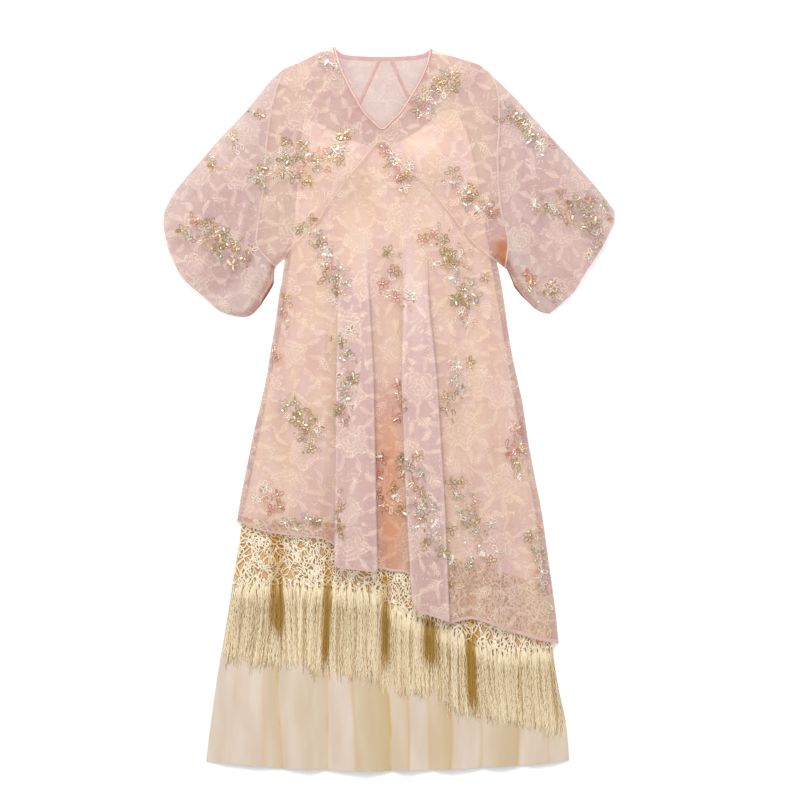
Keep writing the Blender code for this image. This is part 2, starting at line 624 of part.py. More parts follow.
def net():
    """Net header: a closed head, then rings of cord round open diamonds, ending in points."""
    last = len(FOLDS) - 1
    points, index = [], {}

    def vertex(x, y, key):
        if key not in index:
            index[key] = len(points)
            points.append((x, y, under(x, y) + ON_SKIRT))
        return index[key]

    def node(column, level):
        share = lerp(NET_HEAD, 1, level / NET_LEVELS)
        return vertex(*net_point(column, share), (column, level))

    faces = []
    head = [vertex(*net_point(k, 0), (k, "top")) for k in range(last + 1)]
    for k in range(last):
        faces.append((head[k], head[k + 1], node(k + 1, 0), node(k, 0)))
        faces.append((node(k, 0), node(k + 1, 0), node(k + 0.5, 1)))
    for level in range(1, NET_LEVELS):
        odd = level % 2
        for n in range(last):
            centre = n + (1 if odd else 0.5)
            if centre > last - 0.5:
                continue
            around = [node(centre, level - 1), node(centre + 0.5, level),
                      node(centre, level + 1), node(centre - 0.5, level)]
            mid = [sum(points[v][k] for v in around) / 4 for k in (0, 1)]
            hole = []
            for v in around:
                x, y = (lerp(mid[k], points[v][k], NET_HOLE) for k in (0, 1))
                hole.append(vertex(x, y, (centre, level, v)))
            for a in range(4):
                b = (a + 1) % 4
                faces.append((around[a], around[b], hole[b], hole[a]))
    for end in (0, last):
        inner = 0.5 if end == 0 else end - 0.5
        for level in range(0, NET_LEVELS - 1, 2):
            faces.append((node(end, level), node(inner, level + 1), node(end, level + 2)))
    count = len(points)
    used = {}
    for face in faces:
        for a, b in zip(face, face[1:] + face[:1]):
            used[frozenset((a, b))] = used.get(frozenset((a, b)), []) + [(a, b)]
    rims = [pair[0] for pair in used.values() if len(pair) == 1]
    high = [(x, y, z + CORD) for x, y, z in points]
    both = list(faces) + [tuple(v + count for v in (face[0], *face[:0:-1])) for face in faces]
    both += [(b, a, a + count, b + count) for a, b in rims]
    turned(both)
    solid("fringe_net", points + high, both, cream)


def turned(faces):
    """Turn faces so that neighbours agree, starting from the first."""
    owners = {}
    for n, face in enumerate(faces):
        for a, b in zip(face, face[1:] + face[:1]):
            owners.setdefault(frozenset((a, b)), []).append(n)
    done, queue = {0}, [0]
    while queue:
        n = queue.pop()
        face = faces[n]
        for a, b in zip(face, face[1:] + face[:1]):
            for m in owners[frozenset((a, b))]:
                if m in done:
                    continue
                other = faces[m]
                if (a, b) in zip(other, other[1:] + other[:1]):
                    faces[m] = other[::-1]
                done.add(m)
                queue.append(m)


LOCKS_PER_STRIP = 4
LOCK_SHARE = 0.66
BACKING = 4
# A lock's rings: share of its length, share of its width
LOCK_RINGS = [(0.34, 1.0), (0.7, 0.8), (1.0, 0.35)]
# Clumps of the fringe: middle and pull, in fold lines
CLUMPS = [(1.6, 0.5), (5.0, 0.5), (9.0, 0.5), (13.4, 0.5), (17.2, 0.4), (21.6, 0.5)]


def fringe():
    """Locks of fringe, each grown out of the lower side of one narrow backing."""
    points, faces = [], []
    columns = []
    for k in range(len(FOLDS) - 1):
        columns.append((k, None))
        for m in range(LOCKS_PER_STRIP):
            middle = k + (m + 0.5) / LOCKS_PER_STRIP
            half = LOCK_SHARE / LOCKS_PER_STRIP / 2
            columns += [(middle - half, m + k * LOCKS_PER_STRIP), (middle + half, None)]
    columns = columns[1:]
    columns.insert(0, (0.0, None))
    columns.append((len(FOLDS) - 1, None))

    def station(column, drop):
        x, y = net_point(column, 1)
        y = along(NET_BOTTOM, x) - 0.5 - drop
        x = on_folds(column, y)
        z = under(x, y) + ON_SKIRT
        return (x, y, z + CORD), (x, y, z)

    rows = []
    for column, _ in columns:
        up, low = station(column, 0), station(column, BACKING)
        rows.append(len(points))
        points.extend([up[0], up[1], low[0], low[1]])
    faces.append((rows[0], rows[0] + 1, rows[0] + 3, rows[0] + 2))
    faces.append((rows[-1] + 2, rows[-1] + 3, rows[-1] + 1, rows[-1]))
    for n in range(len(columns) - 1):
        a, b = rows[n], rows[n + 1]
        faces += [(a, a + 2, b + 2, b), (a + 1, b + 1, b + 3, a + 3), (a, b, b + 1, a + 1)]
        lock = columns[n][1]
        if lock is None:
            faces.append((a + 2, a + 3, b + 3, b + 2))
            continue
        ring = [a + 2, a + 3, b + 3, b + 2]
        left, right = columns[n][0], columns[n + 1][0]
        middle = (left + right) / 2
        clump = min(CLUMPS, key=lambda c: abs(c[0] - middle))
        start = points[a + 2][1]
        x = points[a + 2][0]
        end = along(FRINGE_END, x) + 5 * math.sin(lock * 2.4)
        for share, wide in LOCK_RINGS:
            y = lerp(start, end, share)
            lean = clump[1] * 0.18 * share * (clump[0] - middle)
            lean += 0.05 * math.sin(lock * 1.7) * share
            centre = middle + max(-0.45, min(0.45, lean))
            half = (right - left) / 2 * wide
            new = len(points)
            for column, up in ((centre - half, 1), (centre - half, 0), (centre + half, 0),
                               (centre + half, 1)):
                px = on_folds(max(0.02, min(len(FOLDS) - 1.02, column)), y)
                points.append((px, y, under(px, y) + ON_SKIRT + up * lerp(CORD, 0.9, share)))
            for c in range(4):
                d = (c + 1) % 4
                faces.append((ring[c], new + c, new + d, ring[d]))
            ring = [new, new + 1, new + 2, new + 3]
        faces.append(tuple(ring))
    turned(faces)
    solid("fringe", points, faces, cream)


def centred():
    """Move every piece so that the outline's middle stands over the origin."""
    spots = [v.co for obj in dress.objects for v in obj.data.vertices]
    mid_x = (min(p.x for p in spots) + max(p.x for p in spots)) / 2
    mid_y = (min(p.y for p in spots) + max(p.y for p in spots)) / 2
    floor = min(p.z for p in spots)
    for obj in dress.objects:
        for v in obj.data.vertices:
            v.co -= Vector((mid_x, mid_y, floor))


for old in list(bpy.data.objects):
    bpy.data.objects.remove(old)
dress = bpy.data.collections.new("dress_set")
bpy.context.scene.collection.children.link(dress)
pink = material("organza", PINK, 0.55)
rose = material("piping", ROSE, 0.5)
peach = material("satin", PEACH, 0.35)
cream = material("silk_cord", CREAM, 0.6)
beige = material("chiffon", BEIGE, 0.7)

front_panel()
necks, arms = {}, {}
for hand in ("left", "right"):
    necks[hand], arms[hand] = yoke_and_gusset(hand)
    sleeve(hand, arms[hand])
neck_piping(necks["left"], necks["right"])
back_pieces(arms)
slip()
underskirt()
net()
fringe()
centred()
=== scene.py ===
"""Looks of the two-piece dress set, laid flat: sheer rose-woven organza over a peach slip with a
knotted net header, a long silk fringe and a chiffon underskirt. Tables are in millimetres."""

import math
import random

import bpy
import numpy as np
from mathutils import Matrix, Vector, noise
from mathutils.bvhtree import BVHTree


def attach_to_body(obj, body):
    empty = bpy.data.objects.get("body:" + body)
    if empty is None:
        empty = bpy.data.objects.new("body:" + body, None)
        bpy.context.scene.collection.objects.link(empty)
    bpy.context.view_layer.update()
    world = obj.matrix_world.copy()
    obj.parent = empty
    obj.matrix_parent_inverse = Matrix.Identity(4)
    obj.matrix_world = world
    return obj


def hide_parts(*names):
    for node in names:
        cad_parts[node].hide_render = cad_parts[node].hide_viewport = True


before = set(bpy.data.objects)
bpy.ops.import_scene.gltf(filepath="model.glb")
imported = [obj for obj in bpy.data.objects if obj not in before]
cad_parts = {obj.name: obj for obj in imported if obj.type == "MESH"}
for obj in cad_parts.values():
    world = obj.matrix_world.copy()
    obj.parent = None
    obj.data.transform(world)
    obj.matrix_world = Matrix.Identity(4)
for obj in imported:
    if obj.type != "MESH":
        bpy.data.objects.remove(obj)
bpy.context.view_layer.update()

MM = 0.001
# Thickness of a cloth and the gap between two
CLOTH, GAP = 1.0, 0.3
CLOTH_MID, LAYER = CLOTH / 2, CLOTH + GAP
# The solids were centred after they were drawn: this is where that put the tables' origin
SHIFT = (0.707, -0.637)

# Over-dress outline: (y, x) down each side from the underarm
BODY_LEFT = [(271, -189), (236, -192), (215, -198), (159, -204), (118, -212), (52, -222),
             (-49, -246), (-106, -257), (-160, -268), (-202, -274.5)]
BODY_RIGHT = [(266, 193), (227, 201), (182, 208), (144, 213), (105, 219), (55, 229.5),
              (20, 238), (-61, 250), (-130, 263), (-187, 274.5), (-272, 286), (-373, 300),
              (-421, 304)]
# Front hem and back hem: (x, y)
HEM_FRONT = [(-274.5, -202), (-226, -221), (-184, -226), (-150, -230), (-109, -235),
             (-100, -262), (-80, -283), (-42, -293), (-19, -286), (-3, -291), (26, -293),
             (36, -318), (55, -362), (84, -381), (109, -388), (125, -374), (165, -383),
             (199, -398), (237, -410), (274, -421), (304, -421)]
HEM_BACK = [(-274.5, -202), (-184, -222), (-109, -232), (-3, -285), (55, -330), (130, -372),
            (199, -396), (304, -419)]
# Inverted-V seam of the front: (x, y) from one underarm over the apex to the other
SEAM_FRONT = [(-189, 271), (-181, 286), (-131, 336), (-115, 361), (-85, 400), (-62, 430),
              (-26, 475), (-14.5, 482), (-1, 475), (22, 441), (68, 400), (110, 351),
              (129, 326), (161, 290), (193, 266)]
SEAM_BACK_RIGHT = [(4.5, 627), (33, 563), (90, 470), (148, 360), (193, 266)]
SEAM_BACK_LEFT = [(-19, 627), (-52, 554), (-98, 465), (-150, 362), (-189, 271)]
# Neck: (x, y) from the shoulder down to the point of the V
V_LEFT = [(-99.9, 651.6), (-87, 610), (-69, 572), (-46, 533), (-28, 515), (-12.6, 503)]
V_RIGHT = [(74.7, 648.9), (68, 620), (57, 593), (41, 565), (22, 535), (4, 517), (-12.6, 503)]
APEX = (-14.5, 482)
BACK_NECK = [(-97, 648), (-84, 639), (-60, 635.4), (-11.7, 634), (36.4, 635.4), (59, 639),
             (72, 646)]
BACK_NECK_SEAM = [(-101, 641), (-86, 632), (-61, 628.4), (-19, 627), (4.5, 627), (37, 628.4),
                  (61, 632), (77, 639.5)]
# Shoulder, armhole and gusset lines: (x, y)
SHOULDER_LEFT = [(-99.9, 651.6), (-116, 647), (-142, 634), (-165, 623), (-190, 613)]
SHOULDER_RIGHT = [(74.7, 648.9), (107, 637), (139, 627.5), (162, 620), (177.3, 608)]
ARM_LEFT = [(-190, 613), (-211, 547), (-222, 466), (-227, 394), (-238, 322)]
ARM_RIGHT = [(177.3, 608), (194, 572), (197, 502), (194, 457), (199, 367)]
ARM_LOW_LEFT = [(-238, 322), (-236, 290), (-205, 256)]
ARM_LOW_RIGHT = [(199, 367), (213, 304), (208, 254)]
GUSSET_TOP_LEFT = [(-131, 336), (-160, 334), (-196, 330), (-238, 322)]
GUSSET_TOP_RIGHT = [(129, 326), (153, 337), (170, 351), (199, 367)]
# Sleeve edges: (x, y)
SLEEVE_TOP_LEFT = [(-190, 613), (-210, 596), (-238.5, 560), (-265, 528.5), (-310, 482),
                   (-353, 431), (-384, 397), (-406, 353)]
SLEEVE_LOW_LEFT = [(-205, 256), (-207, 221), (-218, 203), (-237, 174), (-260, 165),
                   (-277, 167), (-290, 170)]
CUFF_LEFT = [(-406, 353), (-407, 330), (-400, 294.5), (-384, 256), (-374, 238), (-355, 219),
             (-332, 200), (-310, 179), (-290, 170)]
SLEEVE_TOP_RIGHT = [(177.3, 608), (192, 594), (235, 551), (259, 524), (308, 471), (336, 440),
                    (377, 394), (405.5, 356)]
SLEEVE_LOW_RIGHT = [(208, 254), (218, 232), (224, 216), (240, 197), (259, 182), (275, 174),
                    (288, 171.5)]
CUFF_RIGHT = [(405.5, 356), (407, 346), (402, 330), (385, 294.5), (355.5, 249.5), (333, 212),
              (309, 189), (288, 171.5)]
# The tables of each side: neck, shoulder, armhole and its lower part, gusset, and the sleeve's
# upper edge, lower edge and cuff
TABLES = {"left": (V_LEFT, SHOULDER_LEFT, ARM_LEFT, ARM_LOW_LEFT, GUSSET_TOP_LEFT,
                   SLEEVE_TOP_LEFT, SLEEVE_LOW_LEFT, CUFF_LEFT),
          "right": (V_RIGHT, SHOULDER_RIGHT, ARM_RIGHT, ARM_LOW_RIGHT, GUSSET_TOP_RIGHT,
                    SLEEVE_TOP_RIGHT, SLEEVE_LOW_RIGHT, CUFF_RIGHT)}
# Slip and underskirt edges: (y, x); their neckline, slanted seam and hem: (x, y)
UNDER_LEFT = [(525, -152), (477, -161), (441, -159), (409, -165), (330, -172), (271, -178),
              (159, -193), (31, -218), (-106, -246), (-200, -265), (-265, -273), (-315, -282),
              (-398, -295), (-506, -314), (-634, -330)]
UNDER_RIGHT = [(541, 118), (533, 130), (475, 145), (423, 157), (396, 161), (330, 172),
               (266, 182), (182, 197), (55, 218), (-61, 239), (-187, 263), (-272, 275),
               (-373, 287), (-428, 292), (-500, 303), (-568, 318), (-630, 323)]
SLIP_NECK = [(-152, 525), (-125, 512), (-60, 480), (-8, 466), (50, 500), (95, 535), (118, 541)]
SLIP_HEM = [(-265, -195), (-100, -205), (60, -250), (280, -318)]
NET_BOTTOM = [(-290, -317), (-160, -317), (-80, -320), (-19, -329), (13, -370), (60, -378),
              (109, -401), (193, -441), (300, -430)]
FRINGE_END = [(-301, -436), (-233, -452), (-161, -450), (-107, -470), (-26, -476), (19, -503),
              (73, -500), (118, -536), (199, -549), (253, -562), (310, -586)]
SKIRT_HEM = [(-330, -634), (-192, -646), (-35, -651.6), (111, -648), (235, -641), (323, -632)]
# Folds of slip and underskirt: x at the slanted seam, x at the hem, height of the line
FOLDS = [(-265, -330, 0), (-243, -288, 5), (-222, -238, 6), (-202, -192, 1.5), (-180, -168, 6),
         (-155, -145, 8), (-130, -130, 6), (-107, -116, 1.5), (-84, -82, 6), (-60, -42, 9),
         (-30, -18, 6), (-3, 6, 1.5), (16, 22, 6), (35, 37, 8), (54, 58, 5), (72, 79, 2),
         (92, 96, 6), (110, 112, 8), (133, 140, 6), (156, 168, 2), (178, 186, 6),
         (196, 204, 7), (212, 220, 5), (226, 236, 2), (240, 262, 6), (253, 290, 5),
         (266, 323, 0)]
# How far below the over-dress's back hem the slip's back begins to step up over it, and ends
STEP_FROM, STEP_TO = 30, 6
# Where the folds begin, where they are whole, and where they end
FOLD_TOP_Y, FOLD_FULL_Y, FOLD_HEM_Y = 150, -200, -650
# Cups of the slip: x, y, radius, rise
CUPS = [(-82, 430, 78, 13), (66, 440, 76, 13)]
# Flutes: y, centre x, half width of the plateau, growth
FLUTE_LEFT = [(340, -64, 30, 0), (270, -64, 31, 0.35), (180, -64, 32, 0.85), (60, -62, 35, 1),
              (-290, -60, 40, 1)]
FLUTE_RIGHT = [(340, 46, 26, 0), (270, 46, 26, 0.3), (180, 48, 28, 0.75), (60, 53, 33, 1),
               (-160, 64, 36, 1), (-380, 75, 34, 1)]
FLUTE_TOP, FLUTE_RISE = 340, 17
# Section of a flute: distance across in half widths, share of the rise
FLUTE_SECTION = [(-0.80, 0.0), (-0.85, 0.22), (-0.98, 0.52), (-0.90, 0.86), (-0.62, 1.0),
                 (-0.20, 0.96), (0.20, 0.95), (0.62, 1.0), (0.90, 0.86), (0.98, 0.52),
                 (0.85, 0.22), (0.80, 0.0)]
FLAT_HALF = 1.1
# Where the gusset's corners fall between a side edge and the near flute
GUSSET_LEFT, GUSSET_RIGHT = 61 / 88, 64 / 118
# Where the loose column between the flutes is, from the left one
BETWEEN_FLUTES = 0.2
# Soft ridges of the over-dress: x, y at the top, x, y below, half width, rise
RIDGES = [(-140, 230, -185, -215, 34, 6), (-205, 60, -240, -190, 22, 4),
          (150, 190, 188, -370, 34, 7), (205, 120, 262, -400, 24, 5),
          (112, 300, 128, -330, 20, 3), (-120, 330, -122, 60, 20, 3)]
# How far a ridge takes to grow
RIDGE_GROWTH = 120
# Slow unevenness of the over-dress: height of its waves, and size and height of its rumples
UNEVEN, RUMPLE_SIZE, RUMPLE = 1.6, 26, 0.8
# How far the over-dress lies above the slip, and how wide its edges come down over
CLEAR, EDGE_FADE, SHOULDER_FADE = 7.5, 14.0, 30.0


def clamp(t):
    return max(0.0, min(1.0, t))


def smooth(t):
    """0 below 0, 1 above 1, smooth between."""
    t = clamp(t)
    return t * t * (3 - 2 * t)


def smooth_array(t):
    """The same for an array, faster than smooth on each value."""
    t = np.clip(t, 0, 1)
    return t * t * (3 - 2 * t)


def lerp(a, b, t):
    return a + (b - a) * t


def along(table, key, column=1):
    """Value of a column of the table at the key, straight between its rows."""
    rows = table if table[0][0] < table[-1][0] else table[::-1]
    if key <= rows[0][0]:
        return rows[0][column]
    for a, b in zip(rows, rows[1:]):
        if key <= b[0]:
            return lerp(a[column], b[column], (key - a[0]) / (b[0] - a[0]))
    return rows[-1][column]


def spread(path, cells):
    """Points at even steps along a path."""
    lengths = [math.dist(a, b) for a, b in zip(path, path[1:])]
    total, out = sum(lengths), []
    for n in range(cells + 1):
        goal, k = total * n / cells, 0
        while k < len(lengths) - 1 and goal > lengths[k]:
            goal -= lengths[k]
            k += 1
        t = clamp(goal / lengths[k])
        out.append((lerp(path[k][0], path[k + 1][0], t), lerp(path[k][1], path[k + 1][1], t)))
    return out


def distance(point, path):
    """Shortest distance from a point to a path."""
    best = 1e9
    for a, b in zip(path, path[1:]):
        dx, dy = b[0] - a[0], b[1] - a[1]
        t = clamp(((point[0] - a[0]) * dx + (point[1] - a[1]) * dy) / (dx * dx + dy * dy))
        best = min(best, math.dist(point, (a[0] + t * dx, a[1] + t * dy)))
    return best


def patch(top, bottom, left, right):
    """Grid of points between four edges: rows run from top to bottom."""
    rows, cols = len(left) - 1, len(top) - 1
    grid = []
    for i in range(rows + 1):
        v, row = i / rows, []
        for j in range(cols + 1):
            u = j / cols
            row.append(tuple(
                lerp(top[j][k], bottom[j][k], v) + lerp(left[i][k], right[i][k], u)
                - lerp(lerp(top[0][k], top[-1][k], u), lerp(bottom[0][k], bottom[-1][k], u), v)
                for k in (0, 1)))
        grid.append(row)
    return grid


# Main creases of the over-dress: x, y at one end, x, y at the other, half width, height
CREASES = [(-150, 215, -214, -195, 13, -2.6), (-176, 150, -236, -150, 9, 1.8),
           (-118, 190, -137, -205, 12, 2.2), (-205, 205, -222, 90, 8, -1.6),
           (128, 210, 168, -330, 12, -3.0), (170, 190, 236, -340, 11, 2.4),
           (196, 160, 268, -300, 9, -2.2), (112, 60, 118, -330, 9, 1.8),
           (150, -60, 192, -380, 8, 2.0), (-58, 180, -50, -250, 9, -1.4),
           (58, 170, 72, -330, 8, -1.5), (-5, 150, 2, -270, 8, 1.2),
           (-26, 470, -120, 320, 14, 1.6), (10, 450, 105, 330, 14, 1.5),
           (-95, 600, -176, 500, 16, 1.8), (80, 590, 150, 500, 16, 1.6),
           (-150, 560, -212, 430, 12, -1.6), (150, 560, 190, 420, 12, -1.5),
           (-170, 420, -215, 330, 10, 1.6), (150, 420, 186, 350, 10, 1.4)]
# Main creases of the sleeves, in the same columns
SLEEVE_CREASES = [(-215, 560, -285, 250, 15, 5), (-228, 470, -262, 200, 11, -4),
                  (-245, 540, -340, 320, 17, 4), (-232, 420, -236, 220, 10, 5),
                  (-275, 470, -380, 340, 14, -3.5), (-300, 330, -345, 220, 12, 4),
                  (-252, 330, -296, 190, 9, -4), (-330, 420, -398, 320, 11, 3),
                  (-225, 330, -222, 225, 8, -4),
                  (210, 560, 300, 260, 16, 5), (202, 470, 246, 210, 11, -4),
                  (240, 530, 350, 330, 17, 4), (206, 400, 226, 240, 9, 5),
                  (280, 450, 380, 330, 14, -3.5), (300, 330, 352, 240, 12, 4),
                  (232, 350, 288, 190, 9, -4), (330, 420, 396, 340, 10, 3)]


def creased(x, y, table):
    """Height of the soft ridges and troughs of a table at a place."""
    rise = 0.0
    for x0, y0, x1, y1, half, height in table:
        dx, dy = x1 - x0, y1 - y0
        length = math.hypot(dx, dy)
        t = ((x - x0) * dx + (y - y0) * dy) / length ** 2
        if not -0.1 < t < 1.1:
            continue
        bend = 0.35 * half * math.sin(t * 5 + x0)
        side = ((x - x0) * dy - (y - y0) * dx) / length + bend
        if abs(side) < 3 * half:
            ends = smooth((t + 0.1) / 0.35) * smooth((1.1 - t) / 0.35)
            rise += height * ends * math.exp(-(side / (0.55 * half)) ** 2)
    return rise


def rumple(x, y, size, height):
    """Slow unevenness of cloth, from noise."""
    return height * noise.noise(Vector((x / size, y / size, 0.3)))


def step(x, y):
    """Height of the slip's back: it steps up over the over-dress's hem."""
    return LAYER * clamp((y - along(HEM_BACK, x) + STEP_FROM) / (STEP_FROM - STEP_TO))


def fold_lines(y):
    """Where each fold line lies at this y."""
    t = clamp((FOLD_FULL_Y - y) / (FOLD_FULL_Y - FOLD_HEM_Y))
    left, right = along(UNDER_LEFT, y), along(UNDER_RIGHT, y)
    out = []
    for top, hem, rise in FOLDS:
        high = (top - FOLDS[0][0]) / (FOLDS[-1][0] - FOLDS[0][0])
        low = (hem - FOLDS[0][1]) / (FOLDS[-1][1] - FOLDS[0][1])
        out.append((left + (right - left) * lerp(high, low, t), rise))
    return out


def fold_rise(x, y):
    """Height of the folds, rounded over each fold line."""
    lines = fold_lines(y)
    if x <= lines[0][0]:
        return lines[0][1]
    for a, b in zip(lines, lines[1:]):
        if x <= b[0]:
            t = (x - a[0]) / (b[0] - a[0])
            return lerp(a[1], b[1], lerp(t, smooth(t), 0.7))
    return lines[-1][1]


def under(x, y):
    """Lower face of the slip's front and of the underskirt's front."""
    rise = fold_rise(x, y) * clamp((FOLD_TOP_Y - y) / (FOLD_TOP_Y - FOLD_FULL_Y))
    for cx, cy, radius, cup in CUPS:
        r = math.dist((x, y), (cx, cy)) / radius
        if r < 1:
            rise += cup * math.cos(r * math.pi / 2) ** 2
    return step(x, y) + LAYER + rise


# The over-dress's side edges, where its front comes down to its back
SIDES = [[(-237, 174), (-218, 203), (-205, 256)] + [(x, y) for y, x in BODY_LEFT],
         [(259, 182), (224, 216), (208, 254)] + [(x, y) for y, x in BODY_RIGHT]]


def front(x, y):
    """Lower face of the over-dress's front."""
    rise = UNEVEN * math.sin(x / 23 + y / 41) * math.sin(y / 37 - x / 53)
    rise += creased(x, y, CREASES) + rumple(x, y, RUMPLE_SIZE, RUMPLE)
    for x0, y0, x1, y1, half, top in RIDGES:
        t = clamp((y0 - y) / (y0 - y1))
        d = abs(x - lerp(x0, x1, t)) / half
        grown = smooth((y0 - y) / RIDGE_GROWTH)
        if d < 1:
            rise += top * grown * math.cos(d * math.pi / 2) ** 2
    side = min(distance((x, y), SIDES[0]), distance((x, y), SIDES[1]))
    above = min(distance((x, y), SHOULDER_LEFT), distance((x, y), SHOULDER_RIGHT))
    fade = smooth(side / EDGE_FADE) * smooth(above / SHOULDER_FADE)
    return LAYER + (under(x, y) + CLEAR + rise - LAYER) * fade


def flute_points(table, y):
    """Across, flat x and rise of each point of a flute's section at this y."""
    centre, half, grown = (along(table, y, c) for c in (1, 2, 3))
    last = len(FLUTE_SECTION) - 1
    out = []
    for n, (across, rise) in enumerate(FLUTE_SECTION):
        flat = lerp(-FLAT_HALF, FLAT_HALF, n / last)
        out.append((centre + half * lerp(flat, across, grown), centre + half * flat,
                    rise * grown * FLUTE_RISE))
    return out


def shares(a, b, cells):
    """Evenly spaced columns after a, up to b, that the flutes don't touch."""
    return [(lerp(a, b, n / cells), lerp(a, b, n / cells), 0) for n in range(1, cells + 1)]


# Cells across the front panel: under a gusset, beside a flute, and between the flutes
GUSSET_CELLS, SIDE_CELLS, MID_CELLS = 4, 2, 3


def front_columns(y, left, right):
    """Each column of the front panel at this y: x, flat x and rise."""
    lf, rf = flute_points(FLUTE_LEFT, y), flute_points(FLUTE_RIGHT, y)
    gl, gr = lerp(left, lf[0][0], GUSSET_LEFT), lerp(right, rf[-1][0], GUSSET_RIGHT)
    mid = lerp(lf[-1][0], rf[0][0], BETWEEN_FLUTES)
    return ([(left, left, 0)] + shares(left, gl, GUSSET_CELLS)
            + shares(gl, lf[0][0], SIDE_CELLS)[:-1] + lf + [(mid, mid, 0)]
            + shares(mid, rf[0][0], MID_CELLS)[:-1] + rf
            + shares(rf[-1][0], gr, SIDE_CELLS) + shares(gr, right, GUSSET_CELLS))


def seam_points():
    """Points of the inverted-V seam under each column of the front panel."""
    columns = front_columns(FLUTE_TOP, SEAM_FRONT[0][0], SEAM_FRONT[-1][0])
    top = [(x, along(SEAM_FRONT, x)) for x, _, _ in columns]
    apex = min(range(len(top)), key=lambda k: abs(top[k][0] - APEX[0]))
    top[apex] = APEX
    return top, apex


# Grids

def finer(grid, down, across):
    """A grid of points with smooth curves drawn through it, each cell cut into many."""
    points = np.array(grid, float)
    for axis, parts in ((0, down), (1, across)):
        p = np.moveaxis(points, axis, 0)
        if parts > 1 and len(p) > 1:
            before = np.concatenate([2 * p[:1] - p[1:2], p[:-2]])
            after = np.concatenate([p[2:], 2 * p[-1:] - p[-2:-1]])
            rows = []
            for k in range(parts):
                t = k / parts
                rows.append(0.5 * (2 * p[:-1] + (p[1:] - before) * t
                                   + (2 * before - 5 * p[:-1] + 4 * p[1:] - after) * t ** 2
                                   + (3 * p[:-1] - before - 3 * p[1:] + after) * t ** 3))
            out = np.stack(rows, 1).reshape(-1, *p.shape[1:])
            p = np.concatenate([out, p[-1:]])
        points = np.moveaxis(p, 0, axis)
    return points


def raised(plan, height, lift=0.0):
    """Plan points with their height worked out."""
    return np.array([[(x, y, height(x, y) + lift) for x, y in row] for row in plan])


class Heap:
    """Gathers points, faces, material slots and tones of many small things for one mesh."""

    def __init__(self):
        self.points, self.faces, self.slots, self.tones, self.count = [], [], [], [], 0
        self.smooth = []

    def add(self, points, faces, slot=0, tone=0.5, caps=0):
        """The last faces, as many as there are caps, are shaded flat."""
        self.points.append(np.array(points, float))
        self.faces += [tuple(v + self.count for v in face) for face in faces]
        self.smooth += [True] * (len(faces) - caps) + [False] * caps
        self.slots += [slot] * len(faces)
        tones = np.broadcast_to(np.array(tone, float), (len(points),))
        self.tones.append(tones)
        self.count += len(points)

    def piece(self, name, materials, smooth_faces=True):
        shading = self.smooth if smooth_faces else [False] * len(self.faces)
        return new_piece(name, np.concatenate(self.points), self.faces, materials,
                         self.slots, {"tone": np.concatenate(self.tones)}, shading)


def new_piece(name, points, faces, materials, slots=None, values=None, shading=None):
    """A mesh object from points in the tables' millimetres."""
    world = (np.asarray(points, float) + (SHIFT[0], SHIFT[1], 0)) * MM
    mesh = bpy.data.meshes.new(name)
    mesh.from_pydata(world.tolist(), [], faces)
    mesh.validate()
    for mat in materials:
        mesh.materials.append(mat)
    if slots is not None:
        mesh.polygons.foreach_set("material_index", slots)
    mesh.polygons.foreach_set("use_smooth", shading or [True] * len(mesh.polygons))
    for key, array in (values or {}).items():
        layer = mesh.attributes.new(key, "FLOAT", "POINT")
        layer.data.foreach_set("value", np.asarray(array, np.float32))
    piece = bpy.data.objects.new(name, mesh)
    bpy.context.scene.collection.objects.link(piece)
    return piece


def grid_faces(rows, cols, ring=False):
    """Quads of a grid, upward where rows go down the page and columns to the right."""
    faces = []
    for i in range(rows - 1):
        for j in range(cols if ring else cols - 1):
            n = (j + 1) % cols
            faces.append((i * cols + j, (i + 1) * cols + j, (i + 1) * cols + n, i * cols + n))
    return faces


def grid_piece(name, grid, mat, values=None, ring=False):
    rows, cols = grid.shape[:2]
    faces = grid_faces(rows, cols, ring)
    a, b, c = (grid.reshape(-1, 3)[k] for k in faces[len(faces) // 3][:3])
    if not ring and np.cross(b - a, c - a)[2] < 0:
        faces = [face[::-1] for face in faces]
    flat = {key: np.asarray(array).reshape(-1) for key, array in (values or {}).items()}
    return new_piece(name, grid.reshape(-1, 3), faces, [mat], None, flat)


def attach(piece, slot, *nodes):
    """Ride the one body and replace the nodes; the slot is not used."""
    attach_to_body(piece, "root")
    if nodes:
        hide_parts(*nodes)


def declare(piece, grid, slot, *nodes, ring=False, rests_on=(), with_pieces=()):
    """Attach a cloth and replace its nodes."""
    attach(piece, slot, *nodes)
    if ring:
        grid = np.concatenate([grid, grid[:, :1]], 1)


# Materials

class Field:
    """A value that varies over a surface, with the usual signs as shader nodes."""

    def __init__(self, socket):
        self.socket = socket

    def __add__(self, other):
        return calc("ADD", self, other)

    def __sub__(self, other):
        return calc("SUBTRACT", self, other)

    def __rsub__(self, other):
        return calc("SUBTRACT", other, self)

    def __mul__(self, other):
        return calc("MULTIPLY", self, other)

    def __truediv__(self, other):
        return calc("DIVIDE", self, other)

    __radd__, __rmul__ = __add__, __mul__


tree = None


def feed(socket, value):
    if isinstance(value, Field):
        tree.links.new(value.socket, socket)
    else:
        socket.default_value = value


def calc(operation, *values):
    node = tree.nodes.new("ShaderNodeMath")
    node.operation = operation
    for k, value in enumerate(values):
        feed(node.inputs[k], value)
    return Field(node.outputs[0])


def ramp(value, low, high):
    """0 below low, 1 above high, smooth between."""
    node = tree.nodes.new("ShaderNodeMapRange")
    node.interpolation_type = "SMOOTHSTEP"
    for name, v in (("Value", value), ("From Min", low), ("From Max", high)):
        feed(node.inputs[name], v)
    return Field(node.outputs[0])


